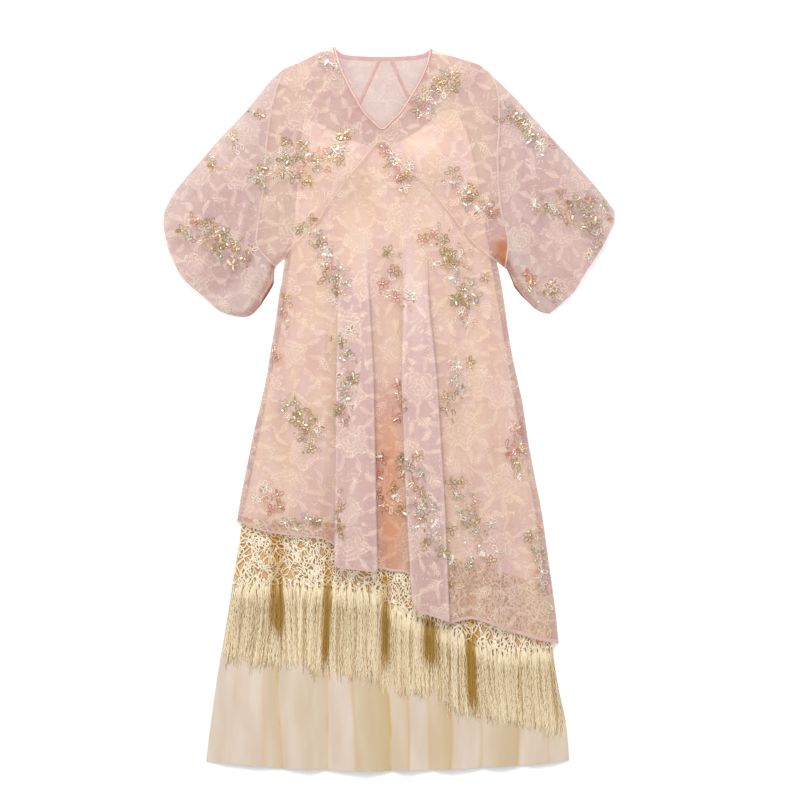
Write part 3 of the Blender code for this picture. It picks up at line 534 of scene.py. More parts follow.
def blend(a, b, share):
    """Colour a where share is 0, colour b where it is 1."""
    node = tree.nodes.new("ShaderNodeMix")
    node.data_type = "RGBA"
    feed(node.inputs["Factor"], share)
    feed(node.inputs[6], a)
    feed(node.inputs[7], b)
    return Field(node.outputs[2])


def largest(*values):
    best = values[0]
    for value in values[1:]:
        best = calc("MAXIMUM", best, value)
    return best


def attribute(name):
    node = tree.nodes.new("ShaderNodeAttribute")
    node.attribute_name = name
    return Field(node.outputs["Fac"])


def coordinates():
    """The place on the cloth: x, y and z in millimetres."""
    where = tree.nodes.new("ShaderNodeTexCoord")
    parts = tree.nodes.new("ShaderNodeSeparateXYZ")
    tree.links.new(where.outputs["Object"], parts.inputs[0])
    return [Field(out) * 1000.0 for out in parts.outputs]


def vector(x, y, z=0.0):
    node = tree.nodes.new("ShaderNodeCombineXYZ")
    for socket, value in zip(node.inputs, (x, y, z)):
        feed(socket, value)
    return Field(node.outputs[0])


def cloudy(place, size, detail=2.0):
    """Noise of about the given size in millimetres, 0 to 1."""
    node = tree.nodes.new("ShaderNodeTexNoise")
    feed(node.inputs["Vector"], place)
    node.inputs["Scale"].default_value = 1 / size
    node.inputs["Detail"].default_value = detail
    return Field(node.outputs["Fac"])


def srgb(red, green, blue):
    """A colour as a screen shows it, 0 to 255, in the shader's linear values."""
    def linear(c):
        c /= 255
        return c / 12.92 if c < 0.04045 else ((c + 0.055) / 1.055) ** 2.4
    return (linear(red), linear(green), linear(blue), 1.0)


def finish(colour, roughness, height=None, depth=0.3, alpha=None, **sockets):
    """A Principled material from the current tree's fields."""
    shader = tree.nodes["Principled BSDF"]
    feed(shader.inputs["Base Color"], colour)
    feed(shader.inputs["Roughness"], roughness)
    if alpha is not None:
        feed(shader.inputs["Alpha"], alpha)
    if height is not None:
        bump = tree.nodes.new("ShaderNodeBump")
        bump.inputs["Distance"].default_value = depth * MM
        feed(bump.inputs["Height"], height)
        tree.links.new(bump.outputs[0], shader.inputs["Normal"])
    for key, value in sockets.items():
        shader.inputs[key.replace("_", " ")].default_value = value


def begin(name):
    global tree
    mat = bpy.data.materials.new(name)
    mat.use_nodes = True
    tree = mat.node_tree
    return mat


def cells(x, y, size, shift):
    """Scattered centres: place from the nearest one, its random turn, and a random number."""
    node = tree.nodes.new("ShaderNodeTexVoronoi")
    node.voronoi_dimensions = "2D"
    node.inputs["Scale"].default_value = 1 / size
    node.inputs["Randomness"].default_value = 0.62
    feed(node.inputs["Vector"], vector(x + shift, y - shift))
    spot = tree.nodes.new("ShaderNodeSeparateXYZ")
    tree.links.new(node.outputs["Position"], spot.inputs[0])
    shade = tree.nodes.new("ShaderNodeSeparateColor")
    tree.links.new(node.outputs["Color"], shade.inputs[0])
    dx = x + shift - Field(spot.outputs[0])
    dy = y - shift - Field(spot.outputs[1])
    turn = Field(shade.outputs[0]) * math.tau
    return dx, dy, turn, Field(shade.outputs[1])


# Sizes of the woven flowers in millimetres
ROSE_SPACING, ROSE_RADIUS = 96.0, 32.0
LEAF_AT, LEAF_HALF, LEAF_WIDE, LEAVES = 45.0, 16.0, 5.4, 9
SPRIG_SPACING, SPRIG_HALF, SPRIG_WIDE = 47.0, 25.0, 11.5
STROKE_SPACING, STROKE_HALF, STROKE_WIDE = 11.0, 6.0, 1.4


def roses(dx, dy, turn, pick):
    """Roses drawn as rows of outlined, hatched petals; also the distance and angle from one."""
    r = calc("SQRT", dx * dx + dy * dy)
    angle = calc("ARCTAN2", dy, dx) + turn
    edge = (ROSE_RADIUS * (0.78 + pick * 0.34) + calc("COSINE", angle * 5.0) * 3.2
            + calc("COSINE", angle * 8.0) * 2.0)
    spiral = r / edge * 4.0 + angle / math.tau + calc("COSINE", angle * 4.0) * 0.22
    part = calc("FRACT", spiral)
    cuts = calc("ABSOLUTE", calc("SINE", angle * 2.5 + calc("FLOOR", spiral) * 1.9))
    outline = largest(ramp(part, 0.7, 0.84), 1.0 - ramp(cuts, 0.06, 0.2))
    hatch = ramp(calc("SINE", angle * 34.0 + r * 0.2), -0.3, 0.8) * ramp(part, 0.1, 0.5)
    rose = ramp(edge - r, 0.0, 2.0) * largest(outline * 0.95, hatch * 0.66 + 0.22)
    return rose, r, angle


def leaf_ring(r, angle):
    """Outlined, veined leaves set round a rose."""
    sector = math.tau / LEAVES
    local = (calc("FRACT", angle / sector) - 0.5) * sector
    u = r * calc("COSINE", local)
    v = calc("ABSOLUTE", r * calc("SINE", local))
    reach = (u - LEAF_AT) / LEAF_HALF
    inside = (1.0 - reach * reach) * LEAF_WIDE - v
    veins = ramp(calc("ABSOLUTE", calc("FRACT", (u + v * 1.1) / 3.6) - 0.5), 0.1, 0.3)
    edge = 1.0 - ramp(inside, 0.8, 2.2)
    return ramp(inside, 0.0, 1.2) * largest(edge * 0.9, veins * 0.6 + 0.16,
                                            1.0 - ramp(v, 0.3, 1.0))


def turned_to(dx, dy, turn):
    cos, sin = calc("COSINE", turn), calc("SINE", turn)
    return dx * cos + dy * sin, dy * cos - dx * sin


def woven_flowers(x, y):
    """Roses with leaves, feathery sprigs between them, and loose strokes, as one mask."""
    place = vector(x, y)
    wx = x + (cloudy(place, 20.0) - 0.5) * 14.0
    wy = y + (cloudy(vector(y, x, 40.0), 20.0) - 0.5) * 14.0
    dx, dy, turn, pick = cells(wx, wy, ROSE_SPACING, 0.0)
    bloom, r, angle = roses(dx, dy, turn, pick)
    near = ramp(ROSE_RADIUS * 1.75 - r, 0.0, 6.0)
    sx, sy, turn, _ = cells(wx, wy, SPRIG_SPACING, 37.0)
    su, sv = turned_to(sx, sy, turn)
    across = calc("ABSOLUTE", sv + su * su * 0.013)
    reach = su / SPRIG_HALF
    inside = (1.0 - reach * reach) * SPRIG_WIDE - across
    herring = calc("FRACT", (su - across * 0.9) / 5.2)
    blades = ramp(herring, 0.1, 0.35) * (1.0 - ramp(herring, 0.65, 0.9))
    sprig = ramp(inside, 0.0, 3.0) * largest(blades, 1.0 - ramp(across, 0.4, 1.3))
    tx, ty, turn, _ = cells(wx, wy, STROKE_SPACING, 11.0)
    tu, tv = turned_to(tx, ty, turn)
    reach = tu / STROKE_HALF
    thin = (1.0 - reach * reach) * STROKE_WIDE
    strokes = ramp(thin - calc("ABSOLUTE", tv + tu * tu * 0.05), 0.0, 0.8) * 0.85
    flowers = largest(bloom, leaf_ring(r, angle), sprig * (1.0 - near),
                      strokes * (1.0 - near * 0.7))
    return flowers * (0.55 + ramp(cloudy(place, 26.0, 3.0), 0.36, 0.6) * 0.45)


def organza(name, ground, motif, painted_shade_colour, thin, dense):
    """Sheer cloth with denser woven flowers; fold, rim, pale and shade come from the mesh.
    The colour after the motif is painted shade, where the cloth turns under or doubles in a valley
    and lies in shadow; pale is painted light on the flutes' flanks and lighter bands along the
    sleeves' edges."""
    mat = begin(name)
    x, y, z = coordinates()
    flowers = woven_flowers(x, y)
    place = vector(x, y, z)
    patches = ramp(cloudy(vector(x * 1.3, y * 0.55, z), 62.0, 3.0), 0.38, 0.62)
    thread = cloudy(vector(x * 3.0, y * 0.5, z), 1.6, 3.0)
    fold, rim, pale, shade = (attribute(key) for key in ("fold", "rim", "pale", "shade"))
    base = blend(ground[0], ground[1], patches)
    base = blend(base, srgb(202, 168, 168), fold * 0.8)
    # Painted light on the flutes' flanks, and lighter bands along the sleeves' edges, from pale
    base = blend(base, srgb(214, 194, 188), pale * 0.7)
    colour = blend(base, motif, flowers * 0.8)
    colour = blend(colour, srgb(228, 204, 200), rim * 0.4)
    # Painted shade: the shade attribute runs the colour to the shade colour and makes the cloth
    # denser
    colour = blend(colour, painted_shade_colour, shade)
    alpha = thin + (dense - thin) * flowers + fold * 0.2 + rim * 0.12 + shade * 0.5
    alpha = calc("MINIMUM", alpha + (thread - 0.5) * 0.14, 0.97)
    finish(colour, flowers * 0.25 + 0.35, height=flowers * 0.7 + thread * 0.3,
           depth=0.35, alpha=alpha, Sheen_Weight=0.2, Sheen_Roughness=0.4,
           Specular_IOR_Level=0.3)
    return mat


def satin():
    mat = begin("slip_satin")
    x, y, z = coordinates()
    place = vector(x, y, z)
    sheen = ramp(cloudy(vector(x * 1.6, y * 0.5, z), 40.0, 3.0), 0.3, 0.7)
    colour = blend(srgb(228, 204, 178), srgb(234, 214, 210), sheen)
    # Painted shade between the flutes, from the shade attribute
    colour = blend(colour, srgb(222, 132, 44), attribute("shade"))
    weave = cloudy(vector(x * 4.0, y * 0.6, z), 1.8, 3.0)
    finish(colour, sheen * 0.1 + 0.34, height=weave, depth=0.15,
           Sheen_Weight=0.3, Specular_IOR_Level=0.5)
    return mat


def chiffon():
    mat = begin("underskirt_chiffon")
    x, y, z = coordinates()
    crepe = cloudy(vector(x, y, z), 1.5, 4.0)
    soft = ramp(cloudy(vector(x * 1.4, y * 0.35, z), 45.0, 2.0), 0.3, 0.7)
    colour = blend(srgb(202, 183, 164), srgb(212, 197, 182), soft)
    # Painted shade: the pressed panels darker and yellower, and golden shade at the fold lines and
    # behind the net and fringe
    colour = blend(colour, srgb(188, 164, 118), attribute("panel"))
    colour = blend(colour, srgb(196, 142, 14), attribute("shade"))
    finish(colour, crepe * 0.15 + 0.62, height=crepe, depth=0.2,
           Sheen_Weight=0.35, Sheen_Roughness=0.5, Specular_IOR_Level=0.25)
    return mat


def silk(name, dark, light, rough=0.42):
    """Silk thread whose tone, 0 to 1, runs from dark to light; low tones also stand for painted
    golden shade in the deep folds.
    """
    mat = begin(name)
    x, y, z = coordinates()
    twist_and_highlights = cloudy(vector(x * 2.0, y * 0.7, z), 2.2, 2.0)
    tone = attribute("tone")
    colour = blend(dark, light, tone)
    # Painted highlights: light streaks on the twist's ridges, more on lighter thread
    colour = blend(colour, srgb(250, 242, 228), ramp(twist_and_highlights, 0.5, 0.85) * tone * 0.45)
    finish(colour, twist_and_highlights * 0.2 + rough - 0.1, height=twist_and_highlights, depth=0.25,
           Sheen_Weight=0.2, Specular_IOR_Level=0.5)
    return mat


def ribbon(name, colour_a, colour_b):
    """Bias-cut trim: fine slanting ribs and stitches."""
    mat = begin(name)
    x, y, z = coordinates()
    ribs = ramp(calc("SINE", (x + y) * 2.2), -0.4, 0.9)
    mottle = ramp(cloudy(vector(x, y, z), 14.0, 3.0), 0.3, 0.7)
    colour = blend(colour_a, colour_b, mottle * 0.6 + ribs * 0.3)
    finish(colour, mottle * 0.1 + 0.4, height=ribs, depth=0.2,
           Sheen_Weight=0.2, Specular_IOR_Level=0.4)
    return mat


def gem(name, colour, edge, metallic, rough):
    """Glass or metal-coated bead: tone varies the colour from bead to bead and carries painted
    shade between the tiny beads of a string; the glint noise adds painted glints towards the
    second, lighter colour.
    """
    mat = begin(name)
    x, y, z = coordinates()
    glint = cloudy(vector(x, y, z), 2.5, 1.0)
    finish(blend(colour, edge, ramp(attribute("tone") + (glint - 0.5) * 0.6, 0.2, 0.8)),
           glint * 0.2 + rough, Metallic=metallic, Coat_Weight=0.6, Coat_Roughness=0.1,
           Specular_IOR_Level=0.8)
    return mat


BODY_GROUND, BODY_MOTIF = (srgb(206, 165, 158), srgb(216, 181, 160)), srgb(238, 214, 192)
# The fourth colour of each organza is its painted shade colour
lilac = organza("organza_body", BODY_GROUND, BODY_MOTIF, srgb(206, 120, 58), 0.46, 0.64)
side_lilac = organza("organza_side", BODY_GROUND, BODY_MOTIF, srgb(166, 88, 8), 0.46, 0.64)
sleeve_lilac = organza("organza_sleeve", (srgb(196, 158, 154), srgb(208, 176, 166)),
                       srgb(232, 210, 194), srgb(156, 76, 24), 0.48, 0.66)
back_lilac = organza("organza_back", (srgb(194, 163, 158), srgb(200, 175, 166)),
                     srgb(216, 195, 184), srgb(180, 110, 60), 0.66, 0.78)
peach_satin = satin()
beige_chiffon = chiffon()
# The silks' dark colours also stand for painted golden shade in the deep folds
cord_silk = silk("cord_silk", srgb(184, 132, 20), srgb(248, 234, 208))
fringe_silk = silk("fringe_silk", srgb(162, 118, 0), srgb(240, 222, 188), 0.5)
trim_rose = ribbon("trim_rose", srgb(190, 142, 138), srgb(202, 158, 152))
trim_hem = ribbon("trim_hem", srgb(198, 162, 154), srgb(208, 176, 162))
trim_light = ribbon("trim_light", srgb(216, 180, 166), srgb(232, 206, 190))
trim_seam = ribbon("trim_seam", srgb(200, 160, 146), srgb(212, 178, 162))
trim_lilac = ribbon("trim_lilac", srgb(196, 166, 162), srgb(205, 178, 172))
gems = [gem("bead_silver", srgb(192, 180, 164), srgb(255, 252, 246), 0.5, 0.08),
        gem("bead_gold", srgb(174, 134, 74), srgb(236, 204, 140), 0.5, 0.15),
        gem("bead_rose", srgb(190, 120, 102), srgb(240, 190, 172), 0.3, 0.15),
        gem("bead_lilac", srgb(180, 156, 160), srgb(242, 228, 226), 0.3, 0.15),
        gem("bead_olive", srgb(154, 136, 88), srgb(206, 192, 140), 0.4, 0.15),
        gem("bead_pearl", srgb(230, 214, 196), srgb(255, 250, 244), 0.1, 0.2)]


# Over-dress

# Rows of the front panel above BODY_Y, down to LOW_Y, and down to the hem
TOP_ROWS, BODY_ROWS, HEM_ROWS = 5, 5, 6
BODY_Y, LOW_Y = 190, -60
# Heights of the underarms
UNDERARM_LEFT_Y, UNDERARM_RIGHT_Y = 271, 266
# The y, left edge and right edge at which the hem's columns are set out
HEM_SETOUT = (-250, -275, 285)
# How fast the straight rows at the seam give way to the flutes' columns
SEAM_EASE = 1.5


def front_grid():
    """Plan and rise of the front panel on the same lines as its solid."""
    top, _ = seam_points()
    hem_columns = front_columns(*HEM_SETOUT)
    rows = []
    for i in range(TOP_ROWS + BODY_ROWS + HEM_ROWS + 1):
        row = []
        for j, (sx, sy) in enumerate(top):
            if i <= TOP_ROWS:
                t = i / TOP_ROWS
                y = lerp(sy, BODY_Y, t)
                left = along(BODY_LEFT, lerp(UNDERARM_LEFT_Y, BODY_Y, t))
                right = along(BODY_RIGHT, lerp(UNDERARM_RIGHT_Y, BODY_Y, t))
                column = front_columns(min(y, FLUTE_TOP), left, right)[j]
                ease = smooth(t * SEAM_EASE)
                x = lerp(sx, column[0], ease) if 0 < j < len(top) - 1 else column[0]
                rise = column[2] * ease
            else:
                if i <= TOP_ROWS + BODY_ROWS:
                    y = lerp(BODY_Y, LOW_Y, (i - TOP_ROWS) / BODY_ROWS)
                else:
                    hem = along(HEM_FRONT, hem_columns[j][1])
                    if j in (0, len(top) - 1):
                        hem = HEM_FRONT[0][1] if j == 0 else HEM_FRONT[-1][1]
                    y = lerp(LOW_Y, hem, (i - TOP_ROWS - BODY_ROWS) / HEM_ROWS)
                column = front_columns(y, along(BODY_LEFT, y), along(BODY_RIGHT, y))[j]
                x, rise = column[0], column[2]
            row.append((x, y, rise))
        rows.append(row)
    return rows


# Cells that one cell of the solid's grid is cut into, down and across
FRONT_DOWN, FRONT_ACROSS = 9, 5
# A flute's colour begins at this height and is whole this much higher
FLUTE_FROM, FLUTE_OVER = 5, 8
# Its light edge: at what share of its crest, and how wide
RIM_AT, RIM_WIDE = 0.84, 0.1
VALLEY_SHADE = 0.5


def overdress_front():
    """The front panel with its two flutes, and the grid it is made from."""
    fine = finer(front_grid(), FRONT_DOWN, FRONT_ACROSS)
    fine[..., 2] = np.maximum(fine[..., 2], 0)
    height = fine[..., 2]
    share = height / np.maximum(height.max(1, keepdims=True), 1)
    fold = smooth_array((height - FLUTE_FROM) / FLUTE_OVER)
    rim = np.exp(-((share - RIM_AT) / RIM_WIDE) ** 2) * smooth_array(height / FLUTE_OVER)
    # Painted light on the flutes' steep flanks, to lift the shade that falls on them
    painted_flank_light = smooth_array(height / 4) * (1 - smooth_array((share - 0.6) / 0.3))
    # Painted shade in the valley between the flutes, none on the flutes themselves
    shade = np.array([[VALLEY_SHADE * valley_of_body(x, y) for x, y, _ in row] for row in fine])
    shade *= 1 - fold
    grid = np.array([[(x, y, front(x, y) + rise + CLOTH_MID) for x, y, rise in row]
                     for row in fine])
    piece = grid_piece("overdress_front_cloth", grid, lilac,
                       {"fold": fold, "rim": rim, "shade": shade, "pale": painted_flank_light})
    return piece, grid


# Cells along the armhole, along the neck down to the apex, and across a gusset
ARM_CELLS, NECK_CELLS, UNDER_CELLS = 7, 7, 3


def yoke_and_gusset(side):
    """Plan grids of the front yoke and gusset of one side, and the armhole's points."""
    top, apex = seam_points()
    neck, shoulder, arm, arm_low, gusset_top = TABLES[side][:5]
    if side == "right":
        corner = len(top) - 1 - GUSSET_CELLS
        inner, outer = top[apex:corner + 1], top[corner:]
    else:
        corner = GUSSET_CELLS
        inner, outer = top[apex:corner - 1:-1], top[corner::-1]
    ledge = spread([inner[-1]] + gusset_top[1:], UNDER_CELLS)
    low = inner + ledge[1:]
    arm, arm_low = spread(arm, ARM_CELLS), spread(arm_low, GUSSET_CELLS)
    under_edge = spread([outer[-1], arm_low[-1]], UNDER_CELLS)
    neck = spread(neck, NECK_CELLS - 1) + [APEX]
    yoke = patch(spread(shoulder, len(low) - 1), low, neck, arm)
    return yoke, patch(ledge, under_edge, outer, arm_low), arm + arm_low[1:]


SLEEVE_CELLS = 9
SLEEVE_DOWN, SLEEVE_ACROSS = 8, 8
# Radius of the sleeve's folded edges, height of its puff
EDGE_ROUND, PUFF = 1.6, 20
# Broad waves and fine gathers of the sleeve: height, and the angle they run through across it
WAVE, WAVES, GATHER, GATHERS = 2.6, 19, 1.3, 62
SLEEVE_RUMPLE_SIZE, SLEEVE_RUMPLE = 24, 1.6
# How far the front's lower edge lies inside the back's, near the body
SLIVER = 11


def sleeve(side, arm):
    """A flattened tube, puffed above, with gathers that run from the armhole to the cuff."""
    upper, lower, cuff = TABLES[side][5:]
    plan = patch(arm, spread(cuff, len(arm) - 1), spread(upper, SLEEVE_CELLS),
                 spread(lower, SLEEVE_CELLS))
    plan = finer(plan, SLEEVE_DOWN, SLEEVE_ACROSS)
    rows, cols = plan.shape[:2]
    starts = [front(*plan[0, j]) + CLOTH for j in range(cols)]
    rings, shades, pales = [], [], []
    for i in range(rows):
        u = i / (rows - 1)
        top, base, shade, light = [], [], [], []
        for j in range(cols):
            v = j / (cols - 1)
            x, y = plan[i, j]
            bow = math.sin(math.pi * v)
            puff = PUFF * bow ** 0.8 * (0.35 + 0.65 * math.sin(
                math.pi * clamp(u * 0.8 + 0.1)))
            puff += WAVE * math.cos(v * WAVES + u * 2) * smooth(u * 2) * bow
            gathers = GATHER * math.cos(v * GATHERS + 3 * math.sin(v * 9)) * bow ** 0.5
            puff += gathers * (0.3 + 0.7 * (1 - smooth(u * 2.2)) + 0.5 * smooth(u * 4 - 3))
            crumple = rumple(x, y, SLEEVE_RUMPLE_SIZE, SLEEVE_RUMPLE)
            puff += (creased(x, y, SLEEVE_CREASES) + crumple) * bow ** 0.5
            z = lerp(starts[j], 2 * EDGE_ROUND + puff, smooth(u * 2.2))
            z = lerp(EDGE_ROUND, max(z, 2 * EDGE_ROUND), smooth(bow * 7))
            inset = SLIVER * smooth((v - 0.8) / 0.18) * smooth(u * 9) * smooth((0.8 - u) / 0.5)
            inner = plan[i, cols // 2] - plan[i, j]
            inner = inner / (np.linalg.norm(inner) + 1e-9) * inset
            top.append((x + inner[0], y + inner[1], z))
            base.append((x, y, lerp(EDGE_ROUND, CLOTH_MID, smooth(bow * 12))))
            # Painted shade: dark orange-brown on the back layer near the body, where it shows past
            # the front's lower edge, and a little on the front
            shade.append(smooth((v - 0.93) / 0.05) * smooth((0.86 - u) / 0.3))
            light.append(0.9 * (1 - smooth(v / 0.3)) + 0.6 * smooth((v - 0.7) / 0.1)
                         * smooth((0.97 - v) / 0.06))
        rings.append(top + base[-2:0:-1])
        shades.append([0.3 * k for k in shade] + shade[-2:0:-1])
        pales.append(light + [0.0] * (cols - 2))
    grid = np.array(rings)
    piece = grid_piece(f"sleeve_{side}_cloth", grid, sleeve_lilac,
                       {"shade": shades, "pale": pales}, ring=True)
    return piece, grid


# Cells of the back panel across and down, and of a back yoke across
BACK_ACROSS, BACK_DOWN, YOKE_ACROSS = 16, 30, 10


def flat(x, y):
    """Height of the over-dress's back, which lies on the floor."""
    return CLOTH_MID


def back_cloths(arms):
    """Flat back of the over-dress: panel and yokes."""
    out = {}
    seam_left, seam_right = SEAM_BACK_LEFT, SEAM_BACK_RIGHT
    left = seam_left + [(x, y) for y, x in BODY_LEFT[1:]]
    right = seam_right + [(x, y) for y, x in BODY_RIGHT[1:]]
    panel = patch(spread([seam_left[0], seam_right[0]], BACK_ACROSS),
                  spread(HEM_BACK, BACK_ACROSS), spread(left, BACK_DOWN),
                  spread(right, BACK_DOWN))
    out["overdress_back_panel"] = finer(panel, 2, 4)
    for side, seam, shoulder in (("left", seam_left, SHOULDER_LEFT),
                                 ("right", seam_right, SHOULDER_RIGHT)):
        neck = BACK_NECK_SEAM[3::-1] if side == "left" else BACK_NECK_SEAM[4:]
        arm = arms[side]
        top = spread(neck + shoulder[1:], YOKE_ACROSS)
        low = spread([seam[-1], arm[-1]], YOKE_ACROSS)
        out[f"yoke_back_{side}"] = finer(patch(top, low, spread(seam, len(arm) - 1), arm), 3, 3)
    return {name: raised(plan, flat) for name, plan in out.items()}


# Trim

def directions(path):
    """Unit direction of a path at each of its points."""
    steps = np.gradient(np.array(path, float), axis=0)
    return steps / (np.linalg.norm(steps, axis=1)[:, None] + 1e-9)


def tube(path, radius, sides=6):
    """Points and faces of a round cord along a path, with closed ends."""
    path = np.array(path, float)
    count = len(path)
    tangent = directions(path)
    side = np.cross(tangent, (0, 0, 1.0))
    side /= np.linalg.norm(side, axis=1)[:, None] + 1e-9
    up = np.cross(side, tangent)
    radii = np.broadcast_to(np.array(radius, float), (count,))[:, None]
    rings = []
    for k in range(sides):
        a = math.tau * k / sides
        rings.append(path + (side * math.cos(a) + up * math.sin(a)) * radii)
    points = np.stack(rings, 1).reshape(-1, 3)
    faces = []
    for i in range(count - 1):
        for k in range(sides):
            n = (k + 1) % sides
            faces.append((i * sides + k, i * sides + n, (i + 1) * sides + n, (i + 1) * sides + k))
    faces.append(tuple(range(sides - 1, -1, -1)))
    faces.append(tuple((count - 1) * sides + k for k in range(sides)))
    return points, faces


def smooth_path(path, cells):
    """Even steps along a curve drawn through the points."""
    return spread([tuple(p) for p in finer([[p] for p in path], 6, 1)[:, 0]], cells)


# Section of a flat seam: share across, height
BAND = [(-1, 0.05), (-0.7, 0.45), (0, 0.55), (0.7, 0.45), (1, 0.05)]


def band(path, half, height, lift):
    """A strip that lies on the cloth along a path: a grid of points."""
    rows = []
    for (x, y), (tx, ty) in zip(path, directions(path)):
        row = []
        for across, rise in BAND:
            px, py = x - ty * across * half, y + tx * across * half
            row.append((px, py, height(px, py) + lift + rise))
        rows.append(row)
    return np.array(rows)


class Ground:
    """The top of some cloths, to lay small things on."""

    def __init__(self, pieces):
        points, faces = [], []
        for piece in pieces:
            start = len(points)
            points += [v.co.copy() for v in piece.data.vertices]
            faces += [[v + start for v in poly.vertices] for poly in piece.data.polygons]
        self.tree = BVHTree.FromPolygons(points, faces)

    def hit(self, x, y):
        """Height in mm and the upward normal at a place, or None."""
        start = Vector(((x + SHIFT[0]) * MM, (y + SHIFT[1]) * MM, 1.0))
        spot, normal, _, _ = self.tree.ray_cast(start, Vector((0, 0, -1)))
        if spot is None:
            return None
        if normal.z < 0:
            normal = -normal
        return spot.z / MM, normal

    def height(self, x, y):
        found = self.hit(x, y)
        return found[0] if found else front(x, y) + CLOTH_MID


STITCH_RADIUS, STITCH_TONE = 0.28, 0.8


def stitches(heap, path, ground, lift):
    """Short raised stitches along a path."""
    for a, b in zip(path[::2], path[1::2]):
        ends = [(*p, ground.height(*p) + lift) for p in (a, b)]
        heap.add(*tube(ends, STITCH_RADIUS, 4), 0, STITCH_TONE, 2)


# Net and fringe

# Height of the net's cords over the lower face of what they lie on
ON_SKIRT = CLOTH + 1.0
CORD_RADIUS, KNOT_RADIUS = 1.05, 3.4
THIN_CORD = CORD_RADIUS * 0.9
# The net's close head: share of its depth, and levels; then the levels of its open part
NET_HEAD, HEAD_LEVELS, NET_LEVELS = 0.42, 7, 4
LOOSE_CORDS, NET_LOOPS = 110, 340
# How far each of two twin cords lies from their middle, in fold lines
TWIN_APART = 0.045
STRIPS = len(FOLDS) - 1


def on_folds(column, y):
    """The x of a place between fold lines, given as a number of lines."""
    lines = fold_lines(y)
    k = max(0, min(int(column), len(lines) - 2))
    return lerp(lines[k][0], lines[k + 1][0], column - k)


def net_point(column, share):
    """A point of the net: along in fold lines, down as a share of its depth."""
    y = -300
    for _ in range(6):
        x = on_folds(column, y)
        y = lerp(along(SLIP_HEM, x) - 2, along(NET_BOTTOM, x), share)
    return (x, y)


def on_net(column, share, lift=0.0):
    x, y = net_point(max(0.0, min(STRIPS, column)), share)
    return (x, y, under(x, y) + ON_SKIRT + lift)


# The deepest folds, which look golden with painted shade: place in fold lines, half width in mm,
# and how far down the fringe they show, as a share of its length; then how wide a fold's edges
# fade
DEEP = [(3.0, 17, 0.75), (7.0, 12, 1.0), (10.8, 12, 0.9), (15.0, 17, 0.75), (18.4, 14, 1.05)]
DEEP_EDGE = 11


def valley(x, y):
    """Painted golden shade: 1 at the bottom of a golden fold and 0 on its ridges, and how far down
    that fold shows.
    """
    lines, best = fold_lines(y), (0.0, 1.0)
    for column, half, reach in DEEP:
        k = int(column)
        middle = lerp(lines[k][0], lines[k + 1][0], column - k)
        best = max(best, (smooth((half - abs(x - middle)) / DEEP_EDGE), reach))
    return best


def cord_between(heap, rng, a, b, slack, radius):
    """One cord of the net, bowed aside and up a little."""
    a, b = np.array(a), np.array(b)
    aside = np.array((-(b - a)[1], (b - a)[0], 0)) * slack
    path = []
    for k in range(5):
        t = k / 4
        path.append(lerp(a, b, t) + aside * math.sin(math.pi * t)
                    + np.array((0, 0, 0.8 * math.sin(math.pi * t))))
    points, faces = tube(path, radius, 5)
    # Random lightness, darkened as painted golden shade in the deep folds
    bright = rng.uniform(0.8, 1.0)
    tone = [bright - 0.6 * valley(p[0], p[1])[0] * rng.uniform(0.4, 1) for p in path]
    heap.add(points, faces, 0, np.repeat(tone, 5), 2)


def knot(heap, rng, centre, radius):
    """A small tight knot: two short crossed loops of cord."""
    x, y, z = centre
    # Painted golden shade in the deep folds
    tone = 1.0 - 0.5 * valley(x, y)[0]
    turn = rng.uniform(0, math.pi)
    for tilt in (0, math.pi / 2):
        loop = []
        for k in range(7):
            a = math.tau * k / 6
            r = radius * 0.55
            dx, dy = r * math.cos(a) * 1.25, r * math.sin(a) * 0.8
            c, s = math.cos(turn + tilt), math.sin(turn + tilt)
            loop.append((x + dx * c - dy * s, y + dx * s + dy * c,
                         z + 0.6 + 0.5 * math.sin(2 * a)))
        heap.add(*tube(loop, radius * 0.36, 4), 0, tone, 2)


